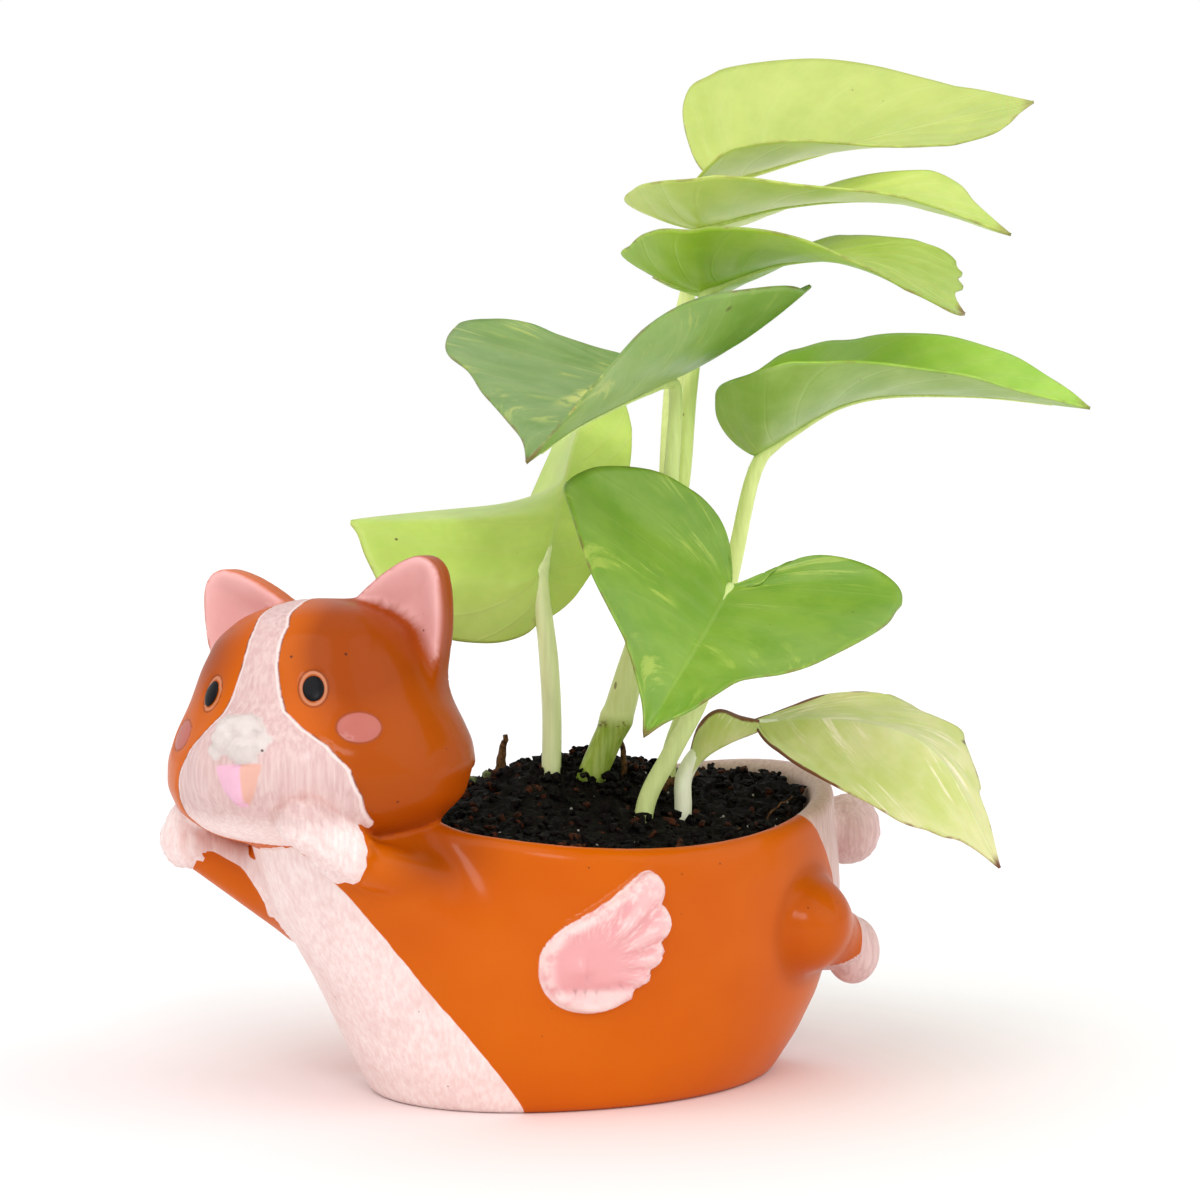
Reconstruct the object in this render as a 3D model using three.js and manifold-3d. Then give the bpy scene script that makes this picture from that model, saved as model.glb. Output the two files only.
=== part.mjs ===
// Potted pothos: eight leaves and a rooted vine in soil, in a small cast planter
// shaped as a winged puppy.
// Millimetres, +Z up. The puppy faces -Y and its left side is +X.
// The origin is the centre of its flat base.

import * as THREE from 'three';
import { mergeVertices } from 'three/addons/utils/BufferGeometryUtils.js';
import Module from 'manifold-3d';

const wasm = await Module();
wasm.setup();

// Clearances and walls
const GAP = 0.3;
const BLADE_THICKNESS = 0.8;
const CAVITY_FLOOR = 5;

// Rim of the bowl: lowest beside the ribs, higher at the neck, the tail and the right flank
const RIM_HEIGHT = 50.2;
const RIM_LOW_Y = -5;
const RIM_SADDLE = 0.0022;
const RIM_TILT = 0.055;
const OPENING_HALF_WIDTH = 36.6;
const OPENING_Y = 4.2;

// Outside of the bowl from the base up: half length, half width, centre in Y, height
const BOWL_WALL = [
  [42.2, 32.2, 0, 0],
  [43, 33, 0, 0.8],
  [46.5, 36.2, 1.5, 8],
  [49.5, 38.6, 2.8, 16],
  [52, 40.6, 3.8, 26],
  [53.5, 41.4, 4.2, 36],
  [53.2, 41, 4.2, 43],
];

// Rounded lip: half length, half width, height above the rim curve
const BOWL_LIP = [
  [52.4, 40.2, -2.4],
  [51.3, 39.3, -0.6],
  [50, 38.2, 0],
  [48.7, 37.1, -0.6],
  [48, OPENING_HALF_WIDTH, -2.4],
];

// Inside of the bowl from the lip down
const BOWL_CAVITY = [
  [48, 36.4, 4.2, 40],
  [46.5, 35.3, 4, 28],
  [42.5, 32, 3, 14],
  [38, 28.3, 2, 7],
  [34, 24.5, 1.5, CAVITY_FLOOR],
];

// Chest that leans forward from the base to the throat
const CHEST = [
  [22, 22, -17, 1],
  [25, 25.5, -20.5, 8],
  [25.5, 26, -25.5, 16],
  [23.5, 25, -35, 28],
  [20.5, 24, -45, 40],
  [17.5, 21, -52, 50],
  [13, 16, -55, 58],
];
const CHEST_ENDS = [1, 59];

// Head in its own axes: half width, half depth, forward shift, height
const HEAD_CENTRE = new THREE.Vector3(-0.7, -57.8, 72);
const HEAD_TURN = THREE.MathUtils.degToRad(31);
const HEAD_ROLL = THREE.MathUtils.degToRad(4);
const HEAD = [
  [13, 12, 0, 51],
  [22, 20, 0, 54],
  [27.8, 26, 0, 58.5],
  [30, 28, 0, 63.5],
  [29.5, 27.6, 0, 68.5],
  [27.2, 25.4, 0, 73.5],
  [24, 23, 0, 79],
  [21.4, 20.8, 0, 85],
  [18.2, 17.8, 0, 90.5],
  [12.4, 12.2, 0, 94.8],
  [5, 5, 0, 96.8],
];
const HEAD_ENDS = [50.2, 97.2];

const DRAIN_RADIUS = 4;
const DRAIN_Y = 18;

// The cuttings are arranged in axes turned to their front: right, toward the front, up
const FRONT_TURN = THREE.MathUtils.degToRad(55);

// Each leaf: midrib, reach of its far and near halves at two stations, petiole, and the outline of
// each half from the notch to the tip as place along the midrib and share of the half width
const LEAVES = [
  {
    name: 'leaf_top', color: 0xcfe070, radius: 1.5, lobe: 0.12, rise: [4, -5], cup: [2, -2],
    midrib: [[31.5, -46, 184.2], [53.6, -45, 190.6], [76, -44, 196.2], [98, -42, 200.8]],
    far: [[53, -64, 212.8], [82.7, -54, 206]],
    near: [[51.2, -22, 189.7], [79.5, -34, 191.3]],
    petiole: [
      [14.4, -4, 89], [16.5, -10.5, 98], [18.4, -20, 113],
      [20, -33.5, 137], [22, -42, 153], [25.5, -48.5, 171],
    ],
    farEdge: [
      [-0.06, 0.08], [-0.1, 0.3], [-0.1, 0.6], [-0.04, 0.83], [0.13, 0.99], [0.32, 1.03],
      [0.5, 0.94], [0.65, 0.76], [0.8, 0.47], [0.91, 0.21],
    ],
    nearEdge: [
      [-0.1, 0.2], [-0.12, 0.46], [-0.06, 0.75], [0.1, 0.92], [0.3, 0.95], [0.5, 0.85],
      [0.7, 0.66], [0.87, 0.6], [0.92, 0.47], [0.96, 0.18],
    ],
  },
  {
    name: 'leaf_second', color: 0xb9d468, radius: 1.4, lobe: 0.22, rise: [7, 7], cup: [4, 4],
    midrib: [[26, -24, 172.2], [44.5, -21, 176.6], [66.7, -16, 176.7], [88.6, -10, 169.4]],
    far: [[51.3, -42, 182.5], [74.3, -29, 183.9]],
    near: [[43.9, 2, 178.7], [71.4, -4, 174.6]],
    petiole: [
      [15.3, -3.4, 95], [18, -7.4, 105], [20, -13, 117],
      [22, -23, 137], [23.4, -28, 153], [24.4, -27, 165],
    ],
    farEdge: [
      [-0.16, 0.2], [-0.2, 0.46], [-0.1, 0.8], [0.1, 0.93], [0.3, 0.84], [0.51, 0.66],
      [0.66, 0.6], [0.78, 0.63], [0.84, 0.57], [0.89, 0.33], [0.94, 0.17],
    ],
    nearEdge: [
      [-0.23, 0.09], [-0.22, 0.38], [-0.17, 0.61], [-0.11, 0.76], [0.02, 0.9], [0.2, 1],
      [0.4, 0.86], [0.57, 0.7], [0.75, 0.52], [0.9, 0.25],
    ],
  },
  {
    name: 'leaf_third', color: 0x9cc450, radius: 1.6, lobe: 0.22, rise: [8, 8], cup: [3, 3],
    midrib: [[26.2, -4, 157.6], [42, 1, 162.9], [59.1, 10, 161.8], [74.9, 24, 151]],
    far: [[46.7, -20, 167.4], [68.4, -4, 168]],
    near: [[40.5, 24, 165.9], [63.2, 26, 156.2]],
    petiole: [
      [15.3, -2.6, 95], [19, -2.2, 103.7], [21.8, -4.2, 119.6],
      [23.6, -7.4, 140], [25.2, -6.6, 150],
    ],
    farEdge: [
      [-0.16, 0.2], [-0.2, 0.46], [-0.1, 0.8], [0.1, 0.97], [0.3, 1], [0.43, 0.92],
      [0.53, 0.7], [0.67, 0.55], [0.76, 0.56], [0.85, 0.62], [0.92, 0.53], [0.945, 0.21],
    ],
    nearEdge: [
      [-0.286, 0.08], [-0.26, 0.29], [-0.19, 0.59], [-0.1, 0.79], [0.05, 0.87], [0.2, 0.95],
      [0.39, 0.98], [0.5, 0.98], [0.6, 0.92], [0.76, 0.77], [0.9, 0.5], [0.97, 0.2],
    ],
  },
  {
    name: 'leaf_dark', color: 0x6f9a45, radius: 1.6, lobe: 0.14, rise: [3, 3], cup: [1, 1],
    midrib: [[19.8, 1, 139.8], [9.9, 17, 134.5], [0.5, 34, 129], [-8.2, 50, 122.2]],
    far: [[-23.5, 4, 146.3], [-17.9, 28, 135.5]],
    near: [[34, 30, 155.5], [12, 45, 145]],
    petiole: [
      [14, -2.4, 88], [16.2, 1.6, 97], [18, 2.6, 106],
      [19.3, 2.2, 119.6], [19, 1.6, 131.6],
    ],
    farEdge: [
      [-0.05, 0.2], [-0.05, 0.475], [-0.05, 0.635], [-0.065, 0.82], [-0.05, 1], [0, 1.12],
      [0.12, 1.11], [0.35, 1.04], [0.5, 0.94], [0.56, 0.79], [0.71, 0.58], [0.81, 0.33], [0.885, 0.14],
    ],
    nearEdge: [
      [-0.06, 0.25], [-0.1, 0.5], [-0.12, 0.8], [-0.06, 1.02], [0.1, 1.08], [0.33, 1],
      [0.5, 0.9], [0.7, 0.68], [0.87, 0.35],
    ],
  },
  {
    name: 'leaf_right', color: 0x7fb23f, radius: 1.8, lobe: 0.2, rise: [11, 11], cup: [5, 5],
    midrib: [[36.8, -4, 124.7], [55.4, -3, 135.3], [78.1, 0, 136.6], [102.4, 4, 133.8]],
    far: [[61.2, -26, 149.9], [86.6, -11, 145.6]],
    near: [[56.8, 20, 142.3], [83.8, 13, 137.6]],
    petiole: [
      [19.2, -12, 40], [19.2, -12, 61.6], [23.6, -11, 74.8],
      [28.6, -9, 87.2], [32.2, -7, 102.5], [34.6, -5, 118],
    ],
    farEdge: [
      [-0.1, 0.3], [-0.12, 0.7], [-0.06, 1.02], [0, 1.2], [0.12, 1.29], [0.3, 1.03],
      [0.475, 0.86], [0.6, 0.78], [0.71, 0.66], [0.79, 0.56], [0.88, 0.34], [0.945, 0.18],
    ],
    nearEdge: [
      [-0.1, 0.15], [-0.15, 0.3], [-0.17, 0.49], [-0.174, 0.63], [-0.15, 0.77], [-0.1, 0.92],
      [-0.04, 1.05], [0.07, 1.11], [0.23, 1.08], [0.38, 0.95], [0.5, 0.87], [0.62, 0.83],
      [0.71, 0.68], [0.8, 0.45], [0.9, 0.26],
    ],
  },
  {
    name: 'leaf_heart', color: 0x6fa62f, radius: 1.9, lobe: 0.27, rise: [0, 0], cup: [1, 1], tuck: 6,
    midrib: [[30.8, 14, 99], [25.2, 29, 90.5], [19.1, 44, 81.8], [13.1, 58, 72.9]],
    far: [[1.1, 34, 109.9], [9.2, 50, 90.9]],
    near: [[55.6, 34, 90.4], [31.6, 52, 82.6]],
    petiole: [
      [14.1, 10, 36], [14.1, 10, 55], [19.4, 9.6, 66],
      [25, 9.6, 77], [29, 10, 88],
    ],
    farEdge: [
      [-0.14, 0.07], [-0.25, 0.15], [-0.32, 0.24], [-0.365, 0.37], [-0.366, 0.5], [-0.35, 0.65],
      [-0.28, 0.8], [-0.17, 0.94], [-0.06, 1], [0.11, 1.05], [0.22, 1.03], [0.4, 0.99],
      [0.56, 0.91], [0.67, 0.745], [0.745, 0.55], [0.81, 0.35], [0.9, 0.13],
    ],
    nearEdge: [
      [-0.02, 0.15], [-0.11, 0.18], [-0.21, 0.25], [-0.26, 0.35], [-0.27, 0.47], [-0.25, 0.61],
      [-0.2, 0.75], [-0.11, 0.88], [-0.02, 0.945], [0.09, 0.97], [0.22, 1.02], [0.38, 1.03],
      [0.53, 1.01], [0.67, 0.96], [0.73, 0.84], [0.74, 0.53], [0.81, 0.39], [0.88, 0.26],
    ],
  },
  {
    name: 'leaf_low', curled: true, color: 0xc3d27a, radius: 1.8, lobe: 0.05, rise: [0, 0], cup: [0, 0],
    midrib: [[35.6, 2, 71.3], [51, 4, 71.9], [69.4, 8, 67.2], [83.5, 14, 43.6]],
    far: [[59, -14, 76.1], [81.3, -2, 61.3]],
    near: [[52.8, 18, 59.3], [72.2, 18, 51.9]],
    petiole: [
      [21.7, 7, 36], [21.7, 7, 54.9], [22, 6, 61],
      [26.1, 4, 66.3], [31.1, 3, 69.2],
    ],
    farEdge: [
      [0.01, 0.04], [0.09, 0.22], [0.17, 0.44], [0.24, 0.7], [0.31, 0.92], [0.365, 1.15],
      [0.396, 1.25], [0.45, 1.18], [0.51, 1.02], [0.57, 1], [0.61, 1.02], [0.67, 0.785],
      [0.73, 0.59], [0.8, 0.42], [0.88, 0.24], [0.93, 0.15],
    ],
    nearEdge: [
      [0.004, 0.1], [0.007, 0.4], [0.04, 0.61], [0.14, 0.875], [0.29, 1.03], [0.42, 1.035],
      [0.55, 1.02], [0.69, 0.82], [0.825, 0.44], [0.93, 0.15],
    ],
  },
  {
    name: 'leaf_back', color: 0xbac968, radius: 2, lobe: 0.22, rise: [-2, -2], cup: [0, 0], swing: 0.16,
    midrib: [[-6.3, -4, 100.5], [-3, -16, 114.7], [0, -32, 128.4], [5.2, -50, 142.3]],
    far: [[-38.8, -13, 112], [-4.2, -56, 128.5]],
    near: [[11, -20, 111.6], [12.1, -38, 130.7]],
    petiole: [
      [-4.7, -5, 38], [-4.7, -5, 57], [-4.5, -5, 71.2],
      [-5.1, -4, 83.4], [-5.8, -3, 93.5],
    ],
    farEdge: [
      [-0.17, 0.07], [-0.21, 0.16], [-0.22, 0.28], [-0.2, 0.42], [-0.13, 0.58], [-0.04, 0.72],
      [0.05, 0.79], [0.14, 0.86], [0.23, 0.93], [0.3, 1.04], [0.36, 1.07], [0.43, 1.08],
      [0.5, 1], [0.6, 0.8], [0.7, 0.66], [0.82, 0.58], [0.92, 0.42],
    ],
    nearEdge: [
      [-0.14, 0.15], [-0.125, 0.33], [-0.03, 0.67], [0.06, 0.81], [0.25, 0.88], [0.45, 0.82],
      [0.574, 0.73], [0.67, 0.66], [0.76, 0.57], [0.9, 0.35],
    ],
  },
];

// Rooted vine: a thick length up to its node, then a slimmer one that the upper leaves grow from
const VINE_LOW = [[0, -3.5, 34], [1.5, -3.6, 50], [3.2, -3.8, 58.7], [5.8, -4, 65.2], [8.7, -4, 72]];
const VINE_HIGH = [[8.4, -4, 71], [11.4, -3.5, 81.4], [14.2, -3, 91], [15.4, -3, 97]];
const VINE_RADIUS = 3;
const NODE_RADIUS = 3.6;
const NODE_HALF_HEIGHT = 2.4;
const VINE_TAPER = 0.4;

// Soil mound: height at the wall below the rim, and a crown toward the back
const SOIL_BELOW_RIM = 1.6;
const SOIL_CROWN = 12;
const SOIL_HALF_LENGTH = 47.5;
const SOIL_HALF_WIDTH = 36;
const SOIL_SHARES = [0.985, 0.9, 0.75, 0.55, 0.32];
const CROWN_CENTRE = new THREE.Vector2(-10, 8);
const CROWN_SPREAD = 24;

// Turns a point of the arrangement axes into the planter's axes
function place([right, toward, up]) {
  const x = right * Math.cos(FRONT_TURN) + toward * Math.sin(FRONT_TURN);
  const y = right * Math.sin(FRONT_TURN) - toward * Math.cos(FRONT_TURN);
  return new THREE.Vector3(x, y, up);
}

function rimHeight(x, y) {
  return RIM_HEIGHT + RIM_SADDLE * (y - RIM_LOW_Y) ** 2 + RIM_TILT * (OPENING_HALF_WIDTH - x);
}

// Position-only mesh with shared corners and no collapsed triangles
function weld(geometry) {
  const bare = geometry.clone();
  for (const name of ['normal', 'uv']) {
    bare.deleteAttribute(name);
  }
  const merged = mergeVertices(bare, 1e-3);
  const source = merged.index.array;
  const kept = [];
  for (let i = 0; i < source.length; i += 3) {
    const [a, b, c] = [source[i], source[i + 1], source[i + 2]];
    if (a !== b && b !== c && c !== a) {
      kept.push(a, b, c);
    }
  }
  merged.setIndex(kept);
  return merged;
}

function toSolid(geometry) {
  const welded = weld(geometry);
  const mesh = new wasm.Mesh({
    numProp: 3,
    vertProperties: new Float32Array(welded.attributes.position.array),
    triVerts: new Uint32Array(welded.index.array),
  });
  return new wasm.Manifold(mesh);
}

function toGeometry(solid) {
  const mesh = solid.getMesh();
  const geometry = new THREE.BufferGeometry();
  geometry.setAttribute('position', new THREE.BufferAttribute(mesh.vertProperties, 3));
  geometry.setIndex(new THREE.BufferAttribute(mesh.triVerts, 1));
  return geometry;
}

function join(solids) {
  return solids.reduce((whole, next) => whole.add(next));
}

// Stack of rings closed at both ends; pointOf(ring, cos, sin) gives the point of a ring at an angle
function ringStack(rings, sides, endHeights, pointOf) {
  const profile = [new THREE.Vector2(0, 0)];
  rings.forEach((ring, index) => profile.push(new THREE.Vector2(1, index + 1)));
  profile.push(new THREE.Vector2(0, rings.length + 1));
  const geometry = new THREE.LatheGeometry(profile, sides);
  const position = geometry.attributes.position;
  const point = new THREE.Vector3();
  for (let i = 0; i < position.count; i += 1) {
    point.fromBufferAttribute(position, i);
    const level = Math.round(point.y);
    const first = level === 0;
    const last = level === rings.length + 1;
    const ring = rings[first ? 0 : Math.min(level - 1, rings.length - 1)];
    const reach = first || last ? 0 : 1;
    const target = pointOf(ring, point.z * reach, point.x * reach);
    if (first || last) {
      target.z = first ? endHeights[0] : endHeights[1];
    }
    position.setXYZ(i, target.x, target.y, target.z);
  }
  return geometry;
}

function ball(centre, radii, widthSegments = 14, heightSegments = 9) {
  const geometry = new THREE.SphereGeometry(1, widthSegments, heightSegments);
  geometry.rotateX(Math.PI / 2);
  geometry.scale(...radii);
  geometry.translate(...centre);
  return geometry;
}

// Round-ended limb between two points, thick at one end and slimmer at the other
function limb(start, end, startRadius, endRadius, sides = 14) {
  const from = new THREE.Vector3(...start);
  const along = new THREE.Vector3(...end).sub(from);
  const length = along.length();
  const geometry = new THREE.CapsuleGeometry(1, length, 3, sides);
  geometry.translate(0, length / 2, 0);
  const position = geometry.attributes.position;
  for (let i = 0; i < position.count; i += 1) {
    const y = position.getY(i);
    const share = THREE.MathUtils.clamp(y / length, 0, 1);
    const radius = THREE.MathUtils.lerp(startRadius, endRadius, share);
    const overhang = y < 0 ? y : Math.max(0, y - length);
    const height = share * length + overhang * radius;
    position.setXYZ(i, position.getX(i) * radius, height, position.getZ(i) * radius);
  }
  const turn = new THREE.Quaternion().setFromUnitVectors(new THREE.Vector3(0, 1, 0), along.normalize());
  geometry.applyQuaternion(turn);
  geometry.translate(from.x, from.y, from.z);
  return geometry;
}

function mirrored(build) {
  return [1, -1].map((side) => toSolid(build(side)));
}

// Bowl with its cavity and rounded lip in one closed surface
function bowl() {
  const wall = BOWL_WALL.map(([a, b, yc, z]) => ({ a, b, yc, z }));
  const lip = BOWL_LIP.map(([a, b, rise]) => ({ a, b, yc: OPENING_Y, rise }));
  const cavity = BOWL_CAVITY.map(([a, b, yc, z]) => ({ a, b, yc, z }));
  const rings = [...wall, ...lip, ...cavity];
  return ringStack(rings, 40, [0, CAVITY_FLOOR], (ring, c, s) => {
    const x = ring.b * c;
    const y = ring.yc + ring.a * s;
    const z = ring.rise === undefined ? ring.z : rimHeight(x, y) + ring.rise;
    return new THREE.Vector3(x, y, z);
  });
}

function chest() {
  const rings = CHEST.map(([a, b, yc, z]) => ({ a, b, yc, z }));
  return ringStack(rings, 24, CHEST_ENDS, (ring, c, s) => (
    new THREE.Vector3(ring.b * c, ring.yc + ring.a * s, ring.z)
  ));
}

// Ear outline in the head's side-to-side and up axes, hollowed at the front
function ear(side) {
  const outline = new THREE.Shape();
  outline.moveTo(side * 6.5, 94);
  outline.quadraticCurveTo(side * 14.5, 101, side * 20.5, 102.4);
  outline.quadraticCurveTo(side * 24.4, 103, side * 24.6, 97.5);
  outline.quadraticCurveTo(side * 25.2, 86, side * 20, 77);
  outline.lineTo(side * 12, 82);
  outline.closePath();
  const plate = new THREE.ExtrudeGeometry(outline, {
    depth: 2.8,
    bevelEnabled: true,
    bevelThickness: 1.6,
    bevelSize: 1.2,
    bevelSegments: 2,
    curveSegments: 6,
  });
  plate.rotateX(Math.PI / 2);
  plate.translate(0, 7.4, 0);
  const hollow = ball([side * 17.5, -3.4, 91.5], [8.2, 8.6, 11], 14, 9);
  return toSolid(plate).subtract(toSolid(hollow));
}

function head() {
  const rings = HEAD.map(([b, a, shift, z]) => ({ a, b, shift, z }));
  const skull = ringStack(rings, 30, HEAD_ENDS, (ring, c, s) => (
    new THREE.Vector3(ring.b * c, ring.a * s - ring.shift, ring.z)
  ));
  const pieces = [
    toSolid(skull),
    toSolid(ball([0, -21, 66.5], [14, 8, 9.5])),
    toSolid(ball([-1.6, -26.6, 72.2], [5.2, 4.8, 4])),
    toSolid(ball([-0.8, -26.2, 64], [2.8, 4.6, 3.6])),
    ear(1),
    ear(-1),
  ];
  const solid = join(pieces);
  const pose = new THREE.Matrix4()
    .makeTranslation(HEAD_CENTRE.x, HEAD_CENTRE.y, HEAD_CENTRE.z)
    .multiply(new THREE.Matrix4().makeRotationZ(HEAD_TURN))
    .multiply(new THREE.Matrix4().makeRotationY(-HEAD_ROLL))
    .multiply(new THREE.Matrix4().makeTranslation(0, 0, -HEAD_CENTRE.z));
  return solid.transform(pose.elements);
}

// Wing plate bent round the flank; the outline gives Y and height on the flank
const WING_OUTLINE = [
  [-31.5, 28.5], [-29, 23.8], [-25, 20.6], [-20.5, 20], [-16, 21.4], [-12.4, 24.6], [-9.4, 28.6],
  [-8.6, 32.5], [-7.2, 37], [-8.6, 40.5], [-8.4, 43.4], [-11.4, 46], [-15.5, 44], [-21, 40.4],
  [-27.6, 37.2], [-30.8, 33],
];
const WING_MIDDLE = [-19, 32];
const WING_PROUD = 3;
const WING_ROOT = -3;

// Share of the outline's size and height over the flank, from the root to the rounded face
const WING_LAYERS = [[0.5, WING_ROOT], [1, WING_ROOT], [1, 1.6], [0.93, 2.6], [0.62, WING_PROUD]];

// Point over the left flank of the bowl at a place in Y and a height
function flankPoint(y, z, proud) {
  const top = BOWL_WALL.length - 1;
  const found = BOWL_WALL.findIndex((ring) => ring[3] >= z);
  const upper = found < 0 ? top : Math.max(found, 1);
  const [below, above] = [BOWL_WALL[upper - 1], BOWL_WALL[upper]];
  const share = THREE.MathUtils.clamp((z - below[3]) / (above[3] - below[3]), 0, 1);
  const [a, b, yc] = [0, 1, 2].map((k) => THREE.MathUtils.lerp(below[k], above[k], share));
  const sine = THREE.MathUtils.clamp((y - yc) / a, -0.98, 0.98);
  const cosine = Math.sqrt(1 - sine * sine);
  const normal = new THREE.Vector2(cosine / b, sine / a).normalize();
  return new THREE.Vector3(b * cosine + proud * normal.x, yc + a * sine + proud * normal.y, z);
}

function leftWing() {
  const curve = new THREE.CatmullRomCurve3(WING_OUTLINE.map(([y, z]) => new THREE.Vector3(y, z, 0)), true);
  const rings = WING_LAYERS.map(([size, proud]) => ({ size, proud }));
  const ends = [WING_ROOT, WING_PROUD];
  const flat = ringStack(rings, 28, ends, (ring, c, s) => {
    const turn = (Math.atan2(s, c) / (2 * Math.PI) + 1) % 1;
    const reach = c === 0 && s === 0 ? 0 : ring.size;
    const edge = curve.getPoint(turn);
    const y = THREE.MathUtils.lerp(WING_MIDDLE[0], edge.x, reach);
    const z = THREE.MathUtils.lerp(WING_MIDDLE[1], edge.y, reach);
    return new THREE.Vector3(y, z, ring.proud);
  });
  const position = flat.attributes.position;
  for (let i = 0; i < position.count; i += 1) {
    const target = flankPoint(position.getX(i), position.getY(i), position.getZ(i));
    position.setXYZ(i, target.x, target.y, target.z);
  }
  return toSolid(flat);
}

// Forelegs folded up under the chin, the right one held lower and further out
function forelegs() {
  return [
    limb([17.5, -43, 43.5], [21.4, -65, 51], 5.4, 4),
    limb([21.4, -65, 51.5], [20.4, -73, 58], 5, 4.4),
    limb([-21, -50, 36], [-22, -71, 48.5], 7, 4.6),
    ball([-22, -75, 50.5], [4.9, 4.8, 5.4]),
  ].map(toSolid);
}

function thigh(side) {
  return ball([side * 31, 34, 29], [12.5, 13, 12]);
}

function hindLeg(side) {
  return limb([side * 31, 38, 29], [side * 27, 50, 25], 9, 7);
}

function hindFoot(side) {
  return ball([side * 26.5, 54, 24], [5.2, 4, 7]);
}

function tail() {
  return [limb([0, 52, 46], [0, 64, 46], 7, 4.5), ball([0, 70, 45], [7.2, 7, 7.6])].map(toSolid);
}

function planterSolid() {
  const cavity = cavitySolid();
  const body = join([
    toSolid(bowl()),
    toSolid(chest()),
    ...forelegs(),
    ...mirrored(thigh),
    ...mirrored(hindLeg),
    ...mirrored(hindFoot),
    leftWing(),
    leftWing().mirror([1, 0, 0]),
    ...tail(),
  ]).subtract(cavity);
  const drain = new THREE.CylinderGeometry(DRAIN_RADIUS, DRAIN_RADIUS, 20, 24);
  drain.rotateX(Math.PI / 2);
  drain.translate(0, DRAIN_Y, 0);
  return body.add(head().subtract(cavity)).subtract(toSolid(drain));
}

// The hollow of the bowl, up past the lip, cleared of whatever the other forms put in it
function cavitySolid() {
  const lip = BOWL_LIP[BOWL_LIP.length - 1];
  const rings = [
    ...BOWL_CAVITY.map(([a, b, yc, z]) => ({ a, b, yc, z })).reverse(),
    { a: lip[0], b: lip[1], yc: OPENING_Y, rise: lip[2] },
    { a: lip[0] + 0.4, b: lip[1] + 0.2, yc: OPENING_Y, rise: 8 },
  ];
  return toSolid(ringStack(rings, 40, [CAVITY_FLOOR, 64], (ring, c, s) => {
    const x = ring.b * c;
    const y = ring.yc + ring.a * s;
    return new THREE.Vector3(x, y, ring.rise === undefined ? ring.z : rimHeight(x, y) + ring.rise);
  }));
}

// Lumpy height of the soil above a point
function soilHeight(x, y) {
  const distance = new THREE.Vector2(x, y).sub(CROWN_CENTRE).length();
  const crown = SOIL_CROWN * Math.exp(-((distance / CROWN_SPREAD) ** 2));
  const lumps = 0.5 * Math.sin(0.55 * x + 1.3) * Math.cos(0.48 * y) + 0.35 * Math.sin(0.9 * y + 0.6 * x);
  return rimHeight(x, y) - SOIL_BELOW_RIM + crown + lumps;
}

function soilSolid() {
  const shrink = GAP + 0.05;
  const wall = BOWL_CAVITY.map(([a, b, yc, z]) => (
    { a: a - shrink, b: b - shrink, yc, z: z + shrink }
  )).reverse();
  const top = SOIL_SHARES.map((share) => (
    { a: SOIL_HALF_LENGTH * share, b: SOIL_HALF_WIDTH * share, yc: OPENING_Y, top: true }
  ));
  const rings = [...wall, ...top];
  const crown = soilHeight(0, OPENING_Y);
  return toSolid(ringStack(rings, 32, [CAVITY_FLOOR + shrink, crown], (ring, c, s) => {
    const x = ring.b * c;
    const y = ring.yc + ring.a * s;
    return new THREE.Vector3(x, y, ring.top ? soilHeight(x, y) : ring.z);
  }));
}

// Outline of one half of a blade, from the notch round the edge to the tip
function halfOutline(edge) {
  const points = [[0, 0], ...edge, [1, 0]];
  return new THREE.CatmullRomCurve3(points.map(([s, w]) => new THREE.Vector3(s, w, 0)));
}

// The low leaf's folded base: a narrow curl that stands on the petiole before the blade opens
const CURL_FOOT = [[22.4, 5.2, 62], [26.1, 4, 66.3], [31.1, 3, 69.2], [37, 2, 71.6]];
const CURL_CREST = [[22.4, 5.2, 62], [25.2, 3.4, 71.2], [28.8, 2.4, 73.8], [33.4, 2, 72.4], [37, 2, 71.6]];

function curlSurface() {
  const foot = new THREE.CatmullRomCurve3(CURL_FOOT.map(place));
  const crest = new THREE.CatmullRomCurve3(CURL_CREST.map(place));
  return (u, v) => foot.getPoint(u).lerp(crest.getPoint(u), (v + 1) / 2);
}

const STATION_NEAR = 0.33;
const STATION_TIP = 0.75;
const TIP_SHARE = 0.58;
const TURN_BACK = 0.6;
const BLADE_BELLY = 1.2;

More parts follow.
